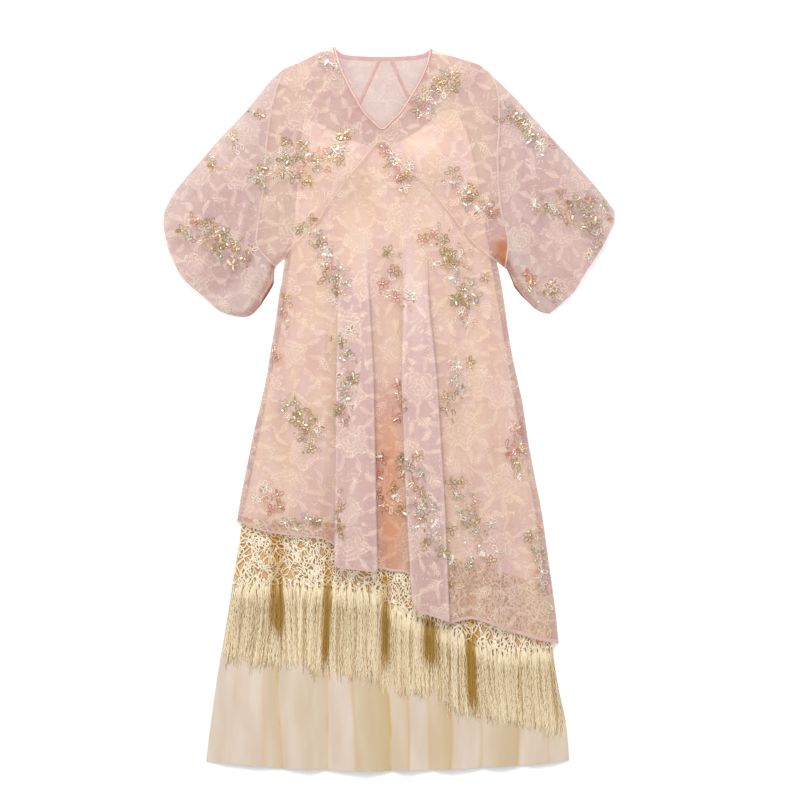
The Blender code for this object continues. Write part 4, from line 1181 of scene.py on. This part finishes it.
def net():
    """A close head of crossed cords, knotted diamonds of twin cords, and loose cords and loops."""
    rng = random.Random(7)
    heap = Heap()
    for level in range(HEAD_LEVELS):
        high, low = (NET_HEAD * n / HEAD_LEVELS for n in (level, level + 1))
        for n in range(2 * STRIPS):
            a, b = n / 2, (n + 1) / 2
            if level % 2:
                a, b = b, a
            jig = [rng.uniform(-0.1, 0.1) for _ in range(4)]
            cord_between(heap, rng, on_net(a + jig[0], high, rng.uniform(0, 1)),
                         on_net(b + jig[1], low, rng.uniform(0, 1)),
                         rng.uniform(-0.4, 0.4), CORD_RADIUS)
            if rng.random() < 0.35:
                cord_between(heap, rng, on_net(b + jig[2], high, rng.uniform(0, 1.5)),
                             on_net(a + jig[3], low, rng.uniform(0, 1.5)),
                             rng.uniform(-0.5, 0.5), THIN_CORD)
    for level in range(NET_LEVELS):
        high, low = (lerp(NET_HEAD, 1, n / NET_LEVELS) for n in (level, level + 1))
        for n in range(STRIPS + 1):
            centre = n + (0.5 if level % 2 else 0)
            for to in (centre - 0.5, centre + 0.5):
                if not (0 <= centre <= STRIPS and 0 <= to <= STRIPS):
                    continue
                for twin in (-1, 1):
                    shift = twin * TWIN_APART
                    jig = [rng.uniform(-0.14, 0.14) for _ in range(4)]
                    cord_between(heap, rng,
                                 on_net(centre + shift + jig[0], high + 0.16 * jig[2], 0.2),
                                 on_net(to + shift + jig[1], low + 0.16 * jig[3], 0.2),
                                 twin * 0.12 + rng.uniform(-0.22, 0.22), CORD_RADIUS)
            if 0 <= centre <= STRIPS:
                knot(heap, rng, on_net(centre, high), KNOT_RADIUS)
    for n in range(2 * STRIPS + 1):
        place = on_net(n / 2 + rng.uniform(-0.15, 0.15), rng.uniform(0.9, 1))
        knot(heap, rng, place, KNOT_RADIUS)
    for _ in range(LOOSE_CORDS):
        column, share = rng.uniform(0.3, STRIPS - 0.3), rng.uniform(0.0, 0.86)
        to = column + rng.choice((-1, 1)) * rng.uniform(0.25, 0.6)
        cord_between(heap, rng, on_net(column, share, rng.uniform(0.5, 2.2)),
                     on_net(to, share + rng.uniform(0.06, 0.2), rng.uniform(0.5, 2.2)),
                     rng.choice((-1, 1)) * rng.uniform(0.2, 0.75), THIN_CORD)
    for _ in range(NET_LOOPS):
        x, y, z = on_net(rng.uniform(0.3, STRIPS - 0.3), rng.uniform(0.0, 0.9),
                         rng.uniform(1.4, 2.6))
        points, faces = loop_shape(rng.uniform(14, 25), rng.uniform(5, 9), 1.0, 12, 0)
        turn = -math.pi / 2 + rng.gauss(0, 0.5)
        cos, sin = math.cos(turn), math.sin(turn)
        placed = [(x + u * cos - v * sin, y + u * sin + v * cos, z + w) for u, v, w in points]
        placed = [(u, v, w + under(u, v) - under(x, y)) for u, v, w in placed]
        # Random lightness, darkened as painted golden shade in the deep folds
        bright = rng.uniform(0.85, 1.0) - 0.6 * valley(x, y)[0]
        heap.add(placed, faces, 0, max(0.1, bright), 2)
    return heap.piece("net_cords", [cord_silk])


# Strands of the fringe, cells down each, and half its width
STRANDS, STRAND_RINGS, STRAND_HALF = 2900, 20, 0.68
# The silk's crimp: how long one wave is, and how far it swings
CRIMP_LENGTH, CRIMP = 17.0, 1.25
# Share of the strands that leave the net in tassels, and how far those spread, in fold lines
TASSEL_SHARE, TASSEL_SPREAD = 0.6, 0.11
# Clumps of the fringe: middle and pull, in fold lines
CLUMPS = [(1.6, 0.5), (5.0, 0.5), (9.0, 0.5), (13.4, 0.5), (17.2, 0.4), (21.6, 0.5)]
# Share of the strands that are darker, and how high the uppermost strands lie
DARKER_SHARE, PILE = 0.46, 2.6


def fringe():
    """Single strands that leave the net in tassels and hang in loose clumps."""
    rng = random.Random(11)
    heaps = {"left": Heap(), "right": Heap()}
    faces = []
    for k in (1, 2, 0):
        n = (k + 1) % 3
        faces += [(i * 3 + k, i * 3 + n, (i + 1) * 3 + n, (i + 1) * 3 + k)
                  for i in range(STRAND_RINGS)]
    last = 3 * (STRAND_RINGS + 1)
    faces += [(2, 1, 0), (last, last + 1, last + 2)]
    for n in range(STRANDS):
        column = STRIPS * (n + rng.random()) / STRANDS
        tassel = rng.random() < TASSEL_SHARE
        near = round(column * 2) / 2
        head = near + rng.gauss(0, TASSEL_SPREAD) if tassel else column + rng.gauss(0, 0.1)
        clump = min(CLUMPS, key=lambda c: abs(c[0] - column))
        x0, y0, _ = on_net(head, 1)
        tuft = math.sin(column * 9) + math.sin(column * 17 + 2)
        y0 += rng.uniform(-8, 12) + 3 * tuft if tassel else rng.uniform(-12, 0)
        end = along(FRINGE_END, x0) + rng.gauss(-2, 8) + 6 * math.sin(column * 9.6)
        lean = clump[1] * 0.2 * (clump[0] - column) + rng.gauss(0, 0.16)
        lock = 0.12 * math.sin(column * 23) + 0.08 * math.sin(column * 61)
        wave = CRIMP * rng.uniform(0.6, 1.3)
        phase = 5 * math.sin(column * 2.3) + rng.gauss(0, 0.7)
        high = rng.uniform(0, 1) ** 1.4 * PILE
        darker = rng.random() < DARKER_SHARE
        shade = rng.uniform(-0.6, -0.15) if darker else rng.uniform(0.0, 0.3)
        shade += 0.14 * math.sin(column * 7) + 0.14 * math.sin(column * 31)
        points, tones = [], []
        for i in range(STRAND_RINGS + 1):
            t = i / STRAND_RINGS
            y = lerp(y0, end, t)
            spread_out = smooth(t * 3.2)
            where = lerp(head, column, spread_out) + (lean + lock) * t * t
            where = max(0.1, min(STRIPS - 0.1, where))
            x = on_folds(where, y) + wave * smooth(t * 4) * math.sin(
                phase + math.tau * (y0 - y) / CRIMP_LENGTH)
            z = under(x, y) + ON_SKIRT + high * smooth(t * 4) * (1 - 0.92 * t * t)
            z += 1.4 * (1 - spread_out) - 0.6 * smooth(t * 3) - 0.75 * smooth(t * 3 - 2)
            half = STRAND_HALF * (1.0 if 0 < t < 1 else 0.6)
            points += [(x - half, y, z), (x + half, y, z), (x, y, z + 0.9 * half)]
            # Tone: painted golden shade in the deep folds, weaker on the upper strands and fading
            # below each fold's reach; lighter tassel heads and ends; and each strand's random
            # lightness
            deep, reach = valley(x, y)
            bright = 0.7 - 1.6 * deep * (1 - 0.3 * high / PILE) * (1 - smooth((t - reach) * 3 + 1))
            bright += (0.5 + 0.15 * tuft) * (1 - smooth(t * 3.6)) + 0.2 * t + shade
            tones += [max(0, min(1, bright))] * 3
        heap = heaps["left" if n < STRANDS / 2 else "right"]
        heap.add(points + points[-3:], faces, 0, tones + tones[-3:], STRAND_RINGS + 2)
    return [heap.piece(f"fringe_strands_{side}", [fringe_silk]) for side, heap in heaps.items()]


# Slip and underskirt

# Levels of the slip's front: chest and hip, and the shares at which rows lie down to each
CHEST_Y, HIP_Y, FIFTHS = 330, -100, (0, 0.2, 0.4, 0.6, 0.8)


def under_rows(column, marks):
    """Points down one fold line at heights y that depend on x."""
    out = []
    for mark in marks:
        x, y = FOLDS[column][0], 0
        for _ in range(6):
            y = mark(x)
            x = fold_lines(y)[column][0]
        out.append((x, y))
    return out


def fold_grid(marks, down, across):
    columns = [under_rows(k, marks) for k in range(len(FOLDS))]
    grid = [[columns[k][i] for k in range(len(FOLDS))] for i in range(len(marks))]
    return finer(grid, down, across)


def slip_front():
    marks = [lambda x, t=t: lerp(along(SLIP_NECK, x), CHEST_Y, t) for t in FIFTHS]
    marks += [lambda x, t=t: lerp(CHEST_Y, HIP_Y, t) for t in FIFTHS]
    marks += [lambda x, t=t: lerp(HIP_Y, along(SLIP_HEM, x), t) for t in (0, 0.35, 0.7, 1)]
    plan = fold_grid(marks, 6, 4)
    grid = raised(plan, lambda x, y: under(x, y) + rumple(x, y, 40, 0.8) + CLOTH_MID)
    shade = [[valley_of_body(x, y) for x, y in row] for row in plan]
    return grid_piece("slip_front_cloth", grid, peach_satin, {"shade": shade}), grid


def valley_of_body(x, y):
    """How much painted shade the cloth gets between the flutes, more towards the hem."""
    centre = (along(FLUTE_LEFT, y) + along(FLUTE_RIGHT, y)) / 2
    return 0.95 * math.exp(-((x - centre) / 27) ** 2) * smooth((110 - y) / 260)


# The slip's back lies below these heights; its cells across and down
SLIP_TOP_LEFT_Y, SLIP_TOP_RIGHT_Y = 440, 430
SLIP_ACROSS, SLIP_DOWN = 12, 20


def slip_back():
    left = [(x, y) for y, x in UNDER_LEFT if SLIP_TOP_LEFT_Y > y > -200] + [SLIP_HEM[0]]
    right = [(x, y) for y, x in UNDER_RIGHT if SLIP_TOP_RIGHT_Y > y > -320] + [SLIP_HEM[-1]]
    plan = patch(spread([left[0], right[0]], SLIP_ACROSS), spread(SLIP_HEM, SLIP_ACROSS),
                 spread(left, SLIP_DOWN), spread(right, SLIP_DOWN))
    grid = raised(finer(plan, 2, 3), lambda x, y: LAYER + CLOTH_MID)
    return grid_piece("slip_back_cloth", grid, peach_satin), grid


SKIRT_LEVELS = 5
# Panels of the underskirt between pressed folds: x at the hem where each ends, and how yellow it
# is, as painted shade
PANELS = [(-285, 0.0), (-222, 0.05), (-192, 0.5), (-112, 0.3), (-60, 0.0), (3, 0.85),
          (35, 0.45), (71, 0.0), (111, 0.8), (163, 0.0), (230, 0.7), (285, 0.2), (400, 0.4)]


def painted_shade_under_fringe(x, y):
    """How much painted golden shade the underskirt gets: thin lines at its pressed folds, and
    behind the net and fringe, more in the deep folds.
    """
    hidden = smooth((y - along(FRINGE_END, x) - 14) / 40)
    at = at_hem(x, y)
    line = min(abs(at - end) for end, _ in PANELS)
    return min(1, 0.3 * math.exp(-(line / 2.6) ** 2) + (0.55 + 0.45 * valley(x, y)[0]) * hidden)


def painted_panel_shade(x, y):
    """The tone of the panel at a place, painted shade with a soft side and a crisp side."""
    at, before = at_hem(x, y), PANELS[0]
    for panel in PANELS:
        if at <= panel[0]:
            width = panel[0] - before[0] or 60
            share = clamp((at - before[0]) / width)
            return panel[1] * (0.4 + 0.6 * share)
        before = panel
    return 0.3


def at_hem(x, y):
    """The x at the hem of the fold line through a place."""
    lines = fold_lines(y)
    for k in range(len(lines) - 1):
        if x <= lines[k + 1][0]:
            t = (x - lines[k][0]) / (lines[k + 1][0] - lines[k][0])
            return lerp(FOLDS[k][1], FOLDS[k + 1][1], t)
    return FOLDS[-1][1]


def underskirt():
    """Front and back of the underskirt, each with its grid."""
    marks = [lambda x: along(SLIP_HEM, x),
             lambda x: lerp(along(SLIP_HEM, x), along(HEM_BACK, x) - STEP_TO, 0.5),
             lambda x: along(HEM_BACK, x) - STEP_TO]
    marks += [lambda x, n=n: lerp(along(HEM_BACK, x) - STEP_FROM, along(SKIRT_HEM, x),
                                  n / SKIRT_LEVELS) for n in range(SKIRT_LEVELS + 1)]
    plan = fold_grid(marks, 6, 7)
    top = raised(plan, lambda x, y: under(x, y) + rumple(x, y * 0.3, 24, 0.9) + CLOTH_MID)
    shade = [[painted_shade_under_fringe(x, y) for x, y in row] for row in plan]
    panel = [[painted_panel_shade(x, y) for x, y in row] for row in plan]
    front_piece = grid_piece("underskirt_front_cloth", top, beige_chiffon,
                             {"shade": shade, "panel": panel})
    base = raised(fold_grid(marks, 4, 2), lambda x, y: step(x, y) + CLOTH_MID)
    back_piece = grid_piece("underskirt_back_cloth", base, beige_chiffon)
    return front_piece, top, back_piece, base


# Beads

# Sprays of beads: x, y at each end, width, kind (s silver, g gold, m mixed, r rose)
SPRAYS = [(-138, 643, -104, 607, 25, "s"), (-262, 553, -240, 531, 22, "g"),
          (-309, 524, -276, 473, 25, "g"), (-338, 463, -305, 434, 29, "g"),
          (-230, 416, -161, 463, 47, "m"), (-161, 419, -96, 466, 43, "m"),
          (-100, 466, -68, 495, 25, "s"), (-359, 319, -258, 275, 47, "m"),
          (-330, 337, -302, 311, 29, "g"), (-14, 470, 22, 398, 25, "r"),
          (4, 448, 37, 419, 22, "s"), (55, 538, 109, 592, 40, "m"), (87, 571, 112, 603, 25, "s"),
          (202, 535, 282, 473, 32, "m"), (228, 524, 253, 502, 25, "s"),
          (102, 419, 145, 383, 29, "s"), (138, 391, 184, 355, 29, "r"),
          (271, 365, 397, 362, 43, "m"), (332, 358, 375, 293, 36, "s"),
          (253, 229, 328, 193, 36, "r"), (285, 229, 307, 185, 25, "g"),
          (-140, 337, -86, 221, 32, "m"), (-122, 275, -86, 200, 25, "s"),
          (73, 319, 112, 272, 36, "m"), (112, 272, 145, 196, 47, "s"),
          (120, 203, 138, 160, 25, "s"), (12, 275, 4, 239, 22, "s"), (-10, 218, 33, 196, 29, "r"),
          (-190, 196, -186, 149, 18, "r"), (-208, 128, -201, 88, 14, "r"),
          (-82, 131, -78, 52, 29, "s"), (-71, 52, -86, -20, 29, "m"), (15, 52, 19, -20, 18, "r"),
          (123, 85, 123, 31, 29, "s"), (102, 20, 112, -16, 22, "g"), (-183, 2, -136, -20, 32, "m"),
          (-161, -23, -143, -67, 40, "s"), (235, -27, 228, -74, 29, "r"),
          (228, -77, 235, -117, 22, "g"), (-226, -149, -183, -207, 32, "r"),
          (-176, -200, -161, -214, 18, "s"), (-150, -193, -132, -207, 18, "s"),
          (-86, -149, -93, -221, 18, "m"), (-21, -77, -14, -182, 18, "r"),
          (4, -149, 19, -185, 29, "g"), (33, -95, 62, -164, 40, "m"),
          (62, -164, 84, -250, 40, "s"), (120, -131, 145, -200, 36, "m"),
          (145, -196, 170, -265, 40, "s"), (260, -221, 274, -304, 29, "m"),
          (109, -275, 120, -337, 14, "g")]


def ring_points(count, radius, z, turn=0.0):
    return [(radius * math.cos(turn + math.tau * k / count),
             radius * math.sin(turn + math.tau * k / count), z) for k in range(count)]


def disc_faces(sides):
    """Faces of a thin disc: its points are two rims, the upper first, and two middles."""
    rim = [(k, (k + 1) % sides) for k in range(sides)]
    return ([(a, b, 2 * sides) for a, b in rim]
            + [(sides + b, sides + a, 2 * sides + 1) for a, b in rim]
            + [(sides + a, sides + b, b, a) for a, b in rim])


def sequin_shape(radius, sides=8):
    """A thin cupped disc."""
    points = ring_points(sides, radius, 0.45) + ring_points(sides, radius, 0.25)
    return points + [(0, 0, 0.05), (0, 0, -0.1)], disc_faces(sides)


def bead_shape(radius, sides=6):
    """A small round bead."""
    points = [(0, 0, -radius)]
    for level in (-0.5, 0.5):
        points += ring_points(sides, radius * math.sqrt(1 - level ** 2), radius * level)
    points += [(0, 0, radius)]
    top = len(points) - 1
    faces = [(0, 1 + (k + 1) % sides, 1 + k) for k in range(sides)]
    faces += [(1 + k, 1 + (k + 1) % sides, 1 + sides + (k + 1) % sides, 1 + sides + k)
              for k in range(sides)]
    faces += [(top, 1 + sides + k, 1 + sides + (k + 1) % sides) for k in range(sides)]
    return points, faces


def bugle_shape(length, radius):
    return tube([(-length / 2, 0, 0), (length / 2, 0, 0)], radius, 5)


def loop_shape(length, width, radius=0.52, cells=10, beaded=1.0):
    """A petal outlined by a string of tiny beads or a cord, its point at the origin."""
    path = []
    for k in range(cells + 1):
        a = math.tau * k / cells
        path.append((length / 2 * (1 - math.cos(a)), width / 2 * math.sin(a), 0.25 * (k % 2)))
    swell = [radius * (1 + beaded * (0.25 if k % 2 else -0.15)) for k in range(cells + 1)]
    return tube(path, swell, 4)


def petal_shape(length, width, sides=8):
    """A thin pointed paillette, its point at the origin."""
    rim = [(length / 2 * (1.1 - math.cos(math.tau * k / sides)),
            width / 2 * math.sin(math.tau * k / sides)) for k in range(sides)]
    points = [(x, y, 0.3) for x, y in rim] + [(x, y, 0.1) for x, y in rim]
    points += [(length * 0.55, 0, 0.7), (length * 0.55, 0, -0.1)]
    return points, disc_faces(sides)


# Beads of each kind of spray: material slots in the order of the gems
KINDS = {"s": [0, 0, 5, 4, 1], "g": [1, 1, 4, 5], "m": [1, 2, 1, 0, 4, 5, 4, 0],
         "r": [2, 2, 1, 5]}
# Area of cloth in mm2 for each flower, leaf, loose disc and loose bead of a spray, how far
# flowers and leaves keep from one another, and how many of the petals are filled
PER_FLOWER, PER_LEAF, PER_DISC, PER_BEAD = 460, 260, 420, 130
FLOWERS_APART, LEAVES_APART, FILLED = 19, 9, 0.25
# A bead is only sewn where cloth lies under and all round it
NEAR_BEAD = [(0, 0), (4, 0), (-4, 0), (0, 4), (0, -4)]


class Beading:
    """Lays beads on the cloth and gathers them in one mesh."""

    def __init__(self, ground, seed):
        self.ground, self.rng, self.heap = ground, random.Random(seed), Heap()

    def put(self, shape, x, y, turn, slot, lift, tilt=0.12):
        reach = max(point[0] for point in shape[0]) + 2
        far = (reach * math.cos(turn), reach * math.sin(turn))
        around = [self.ground.hit(x + dx, y + dy) for dx, dy in NEAR_BEAD + [far]]
        if None in around:
            return
        z, normal = around[0]
        rng = self.rng
        lean = Vector((rng.gauss(0, tilt), rng.gauss(0, tilt), 0))
        up = (normal + lean).normalized()
        side = Vector((math.cos(turn), math.sin(turn), 0))
        side = (side - up * side.dot(up)).normalized()
        points, faces = shape
        placed = np.array(points) @ np.array([side, up.cross(side), up]) + (x, y, z + lift)
        # A random tone for each bead; every other ring of four points is darker, painted shade
        # between the tiny beads of a loop
        tone = rng.random() * np.where(np.arange(len(points)) // 4 % 2, 1.0, 0.45)
        self.heap.add(placed, faces, slot, tone)

    def flower(self, x, y, size, slots):
        """Outlined petals round a small disc, some filled with a paillette."""
        rng = self.rng
        petals = rng.choice((3, 4, 5, 5))
        turn, slot = rng.uniform(0, math.tau), rng.choice(slots)
        for k in range(petals):
            a = turn + math.tau * k / petals
            at = x + 1.4 * math.cos(a), y + 1.4 * math.sin(a)
            self.put(loop_shape(size, size * 0.6), *at, a, slot, 0.8)
            if rng.random() < FILLED:
                self.put(petal_shape(size * 0.85, size * 0.4), *at, a, rng.choice(slots), 0.5)
        self.put(sequin_shape(1.5), x, y, 0, rng.choice((0, 5)), 1.3, 0.3)

    def leaf(self, x, y, turn, slots):
        """Bugles along a stem, or one outlined leaf."""
        slot = self.rng.choice(slots)
        if self.rng.random() < 0.5:
            self.put(loop_shape(self.rng.uniform(10, 14), 5.6), x, y, turn, slot, 0.8)
            return
        for k in range(3):
            a = turn + (0.6 if k % 2 else -0.6)
            px, py = x + 2.6 * k * math.cos(turn), y + 2.6 * k * math.sin(turn)
            self.put(bugle_shape(4.6, 0.6), px, py, a, slot, 0.9, 0.05)

    def spray(self, x0, y0, x1, y1, width, kind):
        rng, slots = self.rng, KINDS[kind]
        length = math.dist((x0, y0), (x1, y1)) + width * 0.6
        dx, dy = (x1 - x0), (y1 - y0)
        norm = math.hypot(dx, dy) or 1
        dx, dy = dx / norm, dy / norm
        middle = ((x0 + x1) / 2, (y0 + y1) / 2)
        area, taken = length * width, []

        def place(apart=0):
            for _ in range(12):
                u, v = rng.uniform(-0.5, 0.5) * length, rng.gauss(0, 0.27) * width
                spot = middle[0] + dx * u - dy * v, middle[1] + dy * u + dx * v
                if all(math.dist(spot, other) > apart for other in taken):
                    break
            if apart:
                taken.append(spot)
            return spot

        for _ in range(max(2, round(area / PER_FLOWER))):
            self.flower(*place(FLOWERS_APART), rng.uniform(8.5, 11.5), slots)
        for _ in range(max(2, round(area / PER_LEAF))):
            self.leaf(*place(LEAVES_APART), math.atan2(dy, dx) + rng.gauss(0, 0.8), slots)
        for _ in range(round(area / PER_DISC)):
            self.put(sequin_shape(rng.uniform(1.3, 2.4)), *place(), rng.uniform(0, 6.3),
                     rng.choice(slots + [0]), 0.8, 0.35)
        for _ in range(round(area / PER_BEAD)):
            self.put(bead_shape(rng.uniform(0.6, 0.95), 5), *place(), 0, rng.choice(slots), 0.8)


# Assembly

front_piece, front_points = overdress_front()
# Painted shade at the right armpit, where the cloth turns under into shadow: where it is darkest,
# how dark, and how far round
UNDERARM, UNDERARM_SHADE, UNDERARM_REACH = [(203, 292), (208, 254)], 0.85, 19
tops, arms = [front_piece], {}
for hand in ("left", "right"):
    yoke, gusset, arms[hand] = yoke_and_gusset(hand)
    for name, plan in (("yoke_front", yoke), ("gusset", gusset)):
        grid = raised(finer(plan, 7, 7), front, CLOTH_MID)
        shade = [[UNDERARM_SHADE * math.exp(-(distance((x, y), UNDERARM) / UNDERARM_REACH) ** 2)
                  for x, y, _ in row] for row in grid]
        piece = grid_piece(f"{name}_{hand}_cloth", grid, side_lilac, {"shade": shade})
        declare(piece, grid, "organza", f"{name}_{hand}", rests_on=["slip_front_cloth"])
        tops.append(piece)
    piece, grid = sleeve(hand, arms[hand])
    declare(piece, grid, "organza", f"sleeve_{hand}", ring=True, rests_on=["floor"])
    tops.append(piece)
for name, grid in back_cloths(arms).items():
    piece = grid_piece(f"{name}_cloth", grid, back_lilac)
    declare(piece, grid, "organza", name, rests_on=["floor"])

bpy.context.view_layer.update()
ground = Ground(tops)

PIPING_RADIUS, PIPING_LIFT, FACING_HALF, FACING_LIFT = 1.05, 1.9, 2.3, 0.9
v_path = smooth_path(V_LEFT[:-1] + V_RIGHT[::-1], 90)
piping_heap = Heap()
piping_heap.add(*tube([(x, y, front(x, y) + PIPING_LIFT) for x, y in v_path],
                      PIPING_RADIUS, 8), 0, 0.5, 2)
facing = band(v_path, FACING_HALF, front, FACING_LIFT)
piping_heap.add(facing.reshape(-1, 3), grid_faces(*facing.shape[:2]), 1)
piping = piping_heap.piece("neck_v_piping", [trim_light, trim_rose])
attach(piping, "piping", "neck_piping")
neck_rows = finer([BACK_NECK, [BACK_NECK_SEAM[k] for k in (0, 1, 2, 3, 5, 6, 7)]], 4, 10)
neck_grid = raised(neck_rows, flat, GAP)
neck_band = grid_piece("neck_band_cloth", neck_grid, trim_rose)
declare(neck_band, neck_grid, "piping", "neck_band_back", rests_on=["floor"])

HEM_LIFT = 0.5
hem_piece = grid_piece("front_hem_roll", front_points[-2:] + (0, 0, HEM_LIFT), trim_hem)
attach(hem_piece, "piping")

seam_front = smooth_path(SEAM_FRONT, 150)
armholes = [smooth_path(ARM_LEFT + ARM_LOW_LEFT[1:], 90),
            smooth_path(ARM_RIGHT + ARM_LOW_RIGHT[1:], 90)]
gusset_tops = [smooth_path(GUSSET_TOP_LEFT, 30), smooth_path(GUSSET_TOP_RIGHT, 26)]
seams, threads = Heap(), Heap()
# Each seam's path, the half width of its band, and which of the two ribbons it has
for path, half, slot in ([(seam_front, 1.7, 0)] + [(path, 1.5, 1) for path in armholes]
                         + [(path, 0.9, 0) for path in gusset_tops]):
    grid = band(path, half, ground.height, 0.2)
    seams.add(grid.reshape(-1, 3), grid_faces(*grid.shape[:2]), slot)
    tangent = directions(path)
    for share in (-0.55, 0.55):
        beside = np.array(path) + np.stack([-tangent[:, 1], tangent[:, 0]], 1) * half * share
        stitches(threads, spread([tuple(p) for p in beside], 240), ground, 0.65)
seam_piece = seams.piece("seam_bands", [trim_seam, trim_lilac])
thread_piece = threads.piece("seam_stitches", [cord_silk])
back_seams = Heap()
for path in (SEAM_BACK_LEFT, SEAM_BACK_RIGHT):
    grid = band(smooth_path(path, 80), 2.6, flat, 0.2)
    back_seams.add(grid.reshape(-1, 3), grid_faces(*grid.shape[:2]))
back_seam_piece = back_seams.piece("back_seam_bands", [trim_rose])

beading = Beading(ground, 5)
for spray in SPRAYS:
    beading.spray(*spray)
beads = beading.heap.piece("beading", gems, smooth_faces=False)
for piece in (seam_piece, thread_piece, back_seam_piece, beads):
    attach(piece, "organza")
declare(front_piece, front_points, "organza", "overdress_front_panel",
        rests_on=["slip_front_cloth"],
        with_pieces=[piping, hem_piece, seam_piece, thread_piece, back_seam_piece, beads])

net_piece = net()
attach(net_piece, "silk_cord", "fringe_net")
fringe_pieces = fringe()
for piece in fringe_pieces:
    attach(piece, "silk_cord", "fringe")
slip_piece, slip_points = slip_front()
declare(slip_piece, slip_points, "satin", "slip_front", rests_on=["slip_back_cloth"],
        with_pieces=[net_piece, *fringe_pieces])
slip_rear, rear_points = slip_back()
declare(slip_rear, rear_points, "satin", "slip_back", rests_on=["overdress_back_panel_cloth"])
skirt_piece, skirt_points, skirt_rear, skirt_base = underskirt()
declare(skirt_piece, skirt_points, "chiffon", "underskirt_front",
        rests_on=["underskirt_back_cloth"])
declare(skirt_rear, skirt_base, "chiffon", "underskirt_back",
        rests_on=["overdress_back_panel_cloth"])


# Floor, light and camera

def plain(name, colour, rough):
    mat = begin(name)
    x, y, z = coordinates()
    grain = cloudy(vector(x, y, z), 300.0, 2.0)
    finish(blend(colour, srgb(252, 252, 252), grain), rough)
    return mat


bpy.ops.mesh.primitive_plane_add(size=8, location=(0, 0, 0))
floor = bpy.context.object
floor.name = "floor"
floor.data.materials.append(plain("floor_white", srgb(250, 250, 250), 0.9))

world = bpy.data.worlds.new("studio")
bpy.context.scene.world = world
world.use_nodes = True
sky = world.node_tree.nodes["Background"]
sky.inputs["Color"].default_value = (1, 1, 1, 1)
sky.inputs["Strength"].default_value = 0.88


def lamp(name, place, size, power):
    """A soft square light aimed at the dress."""
    light = bpy.data.lights.new(name, "AREA")
    light.size = size
    light.energy = power
    holder = bpy.data.objects.new(name, light)
    bpy.context.scene.collection.objects.link(holder)
    holder.location = place
    holder.rotation_euler = (-Vector(place)).to_track_quat("-Z", "Y").to_euler()


lamp("key", (-0.4, 2.15, 2.2), 1.2, 64)

# The camera's height, the width of the frame and its centre, in metres; its sensor in mm
CAMERA_HEIGHT, FRAME_WIDTH, FRAME_CENTRE = 6.0, 1.44, (0.0196, 0.01556)
SENSOR = 36.0
camera_data = bpy.data.cameras.new("camera")
camera_data.sensor_width = SENSOR
camera_data.lens = SENSOR * CAMERA_HEIGHT / FRAME_WIDTH
camera_data.clip_end = 50
camera = bpy.data.objects.new("camera", camera_data)
bpy.context.scene.collection.objects.link(camera)
camera.location = (*FRAME_CENTRE, CAMERA_HEIGHT)
bpy.context.scene.camera = camera
bpy.context.scene.view_settings.view_transform = "Standard"
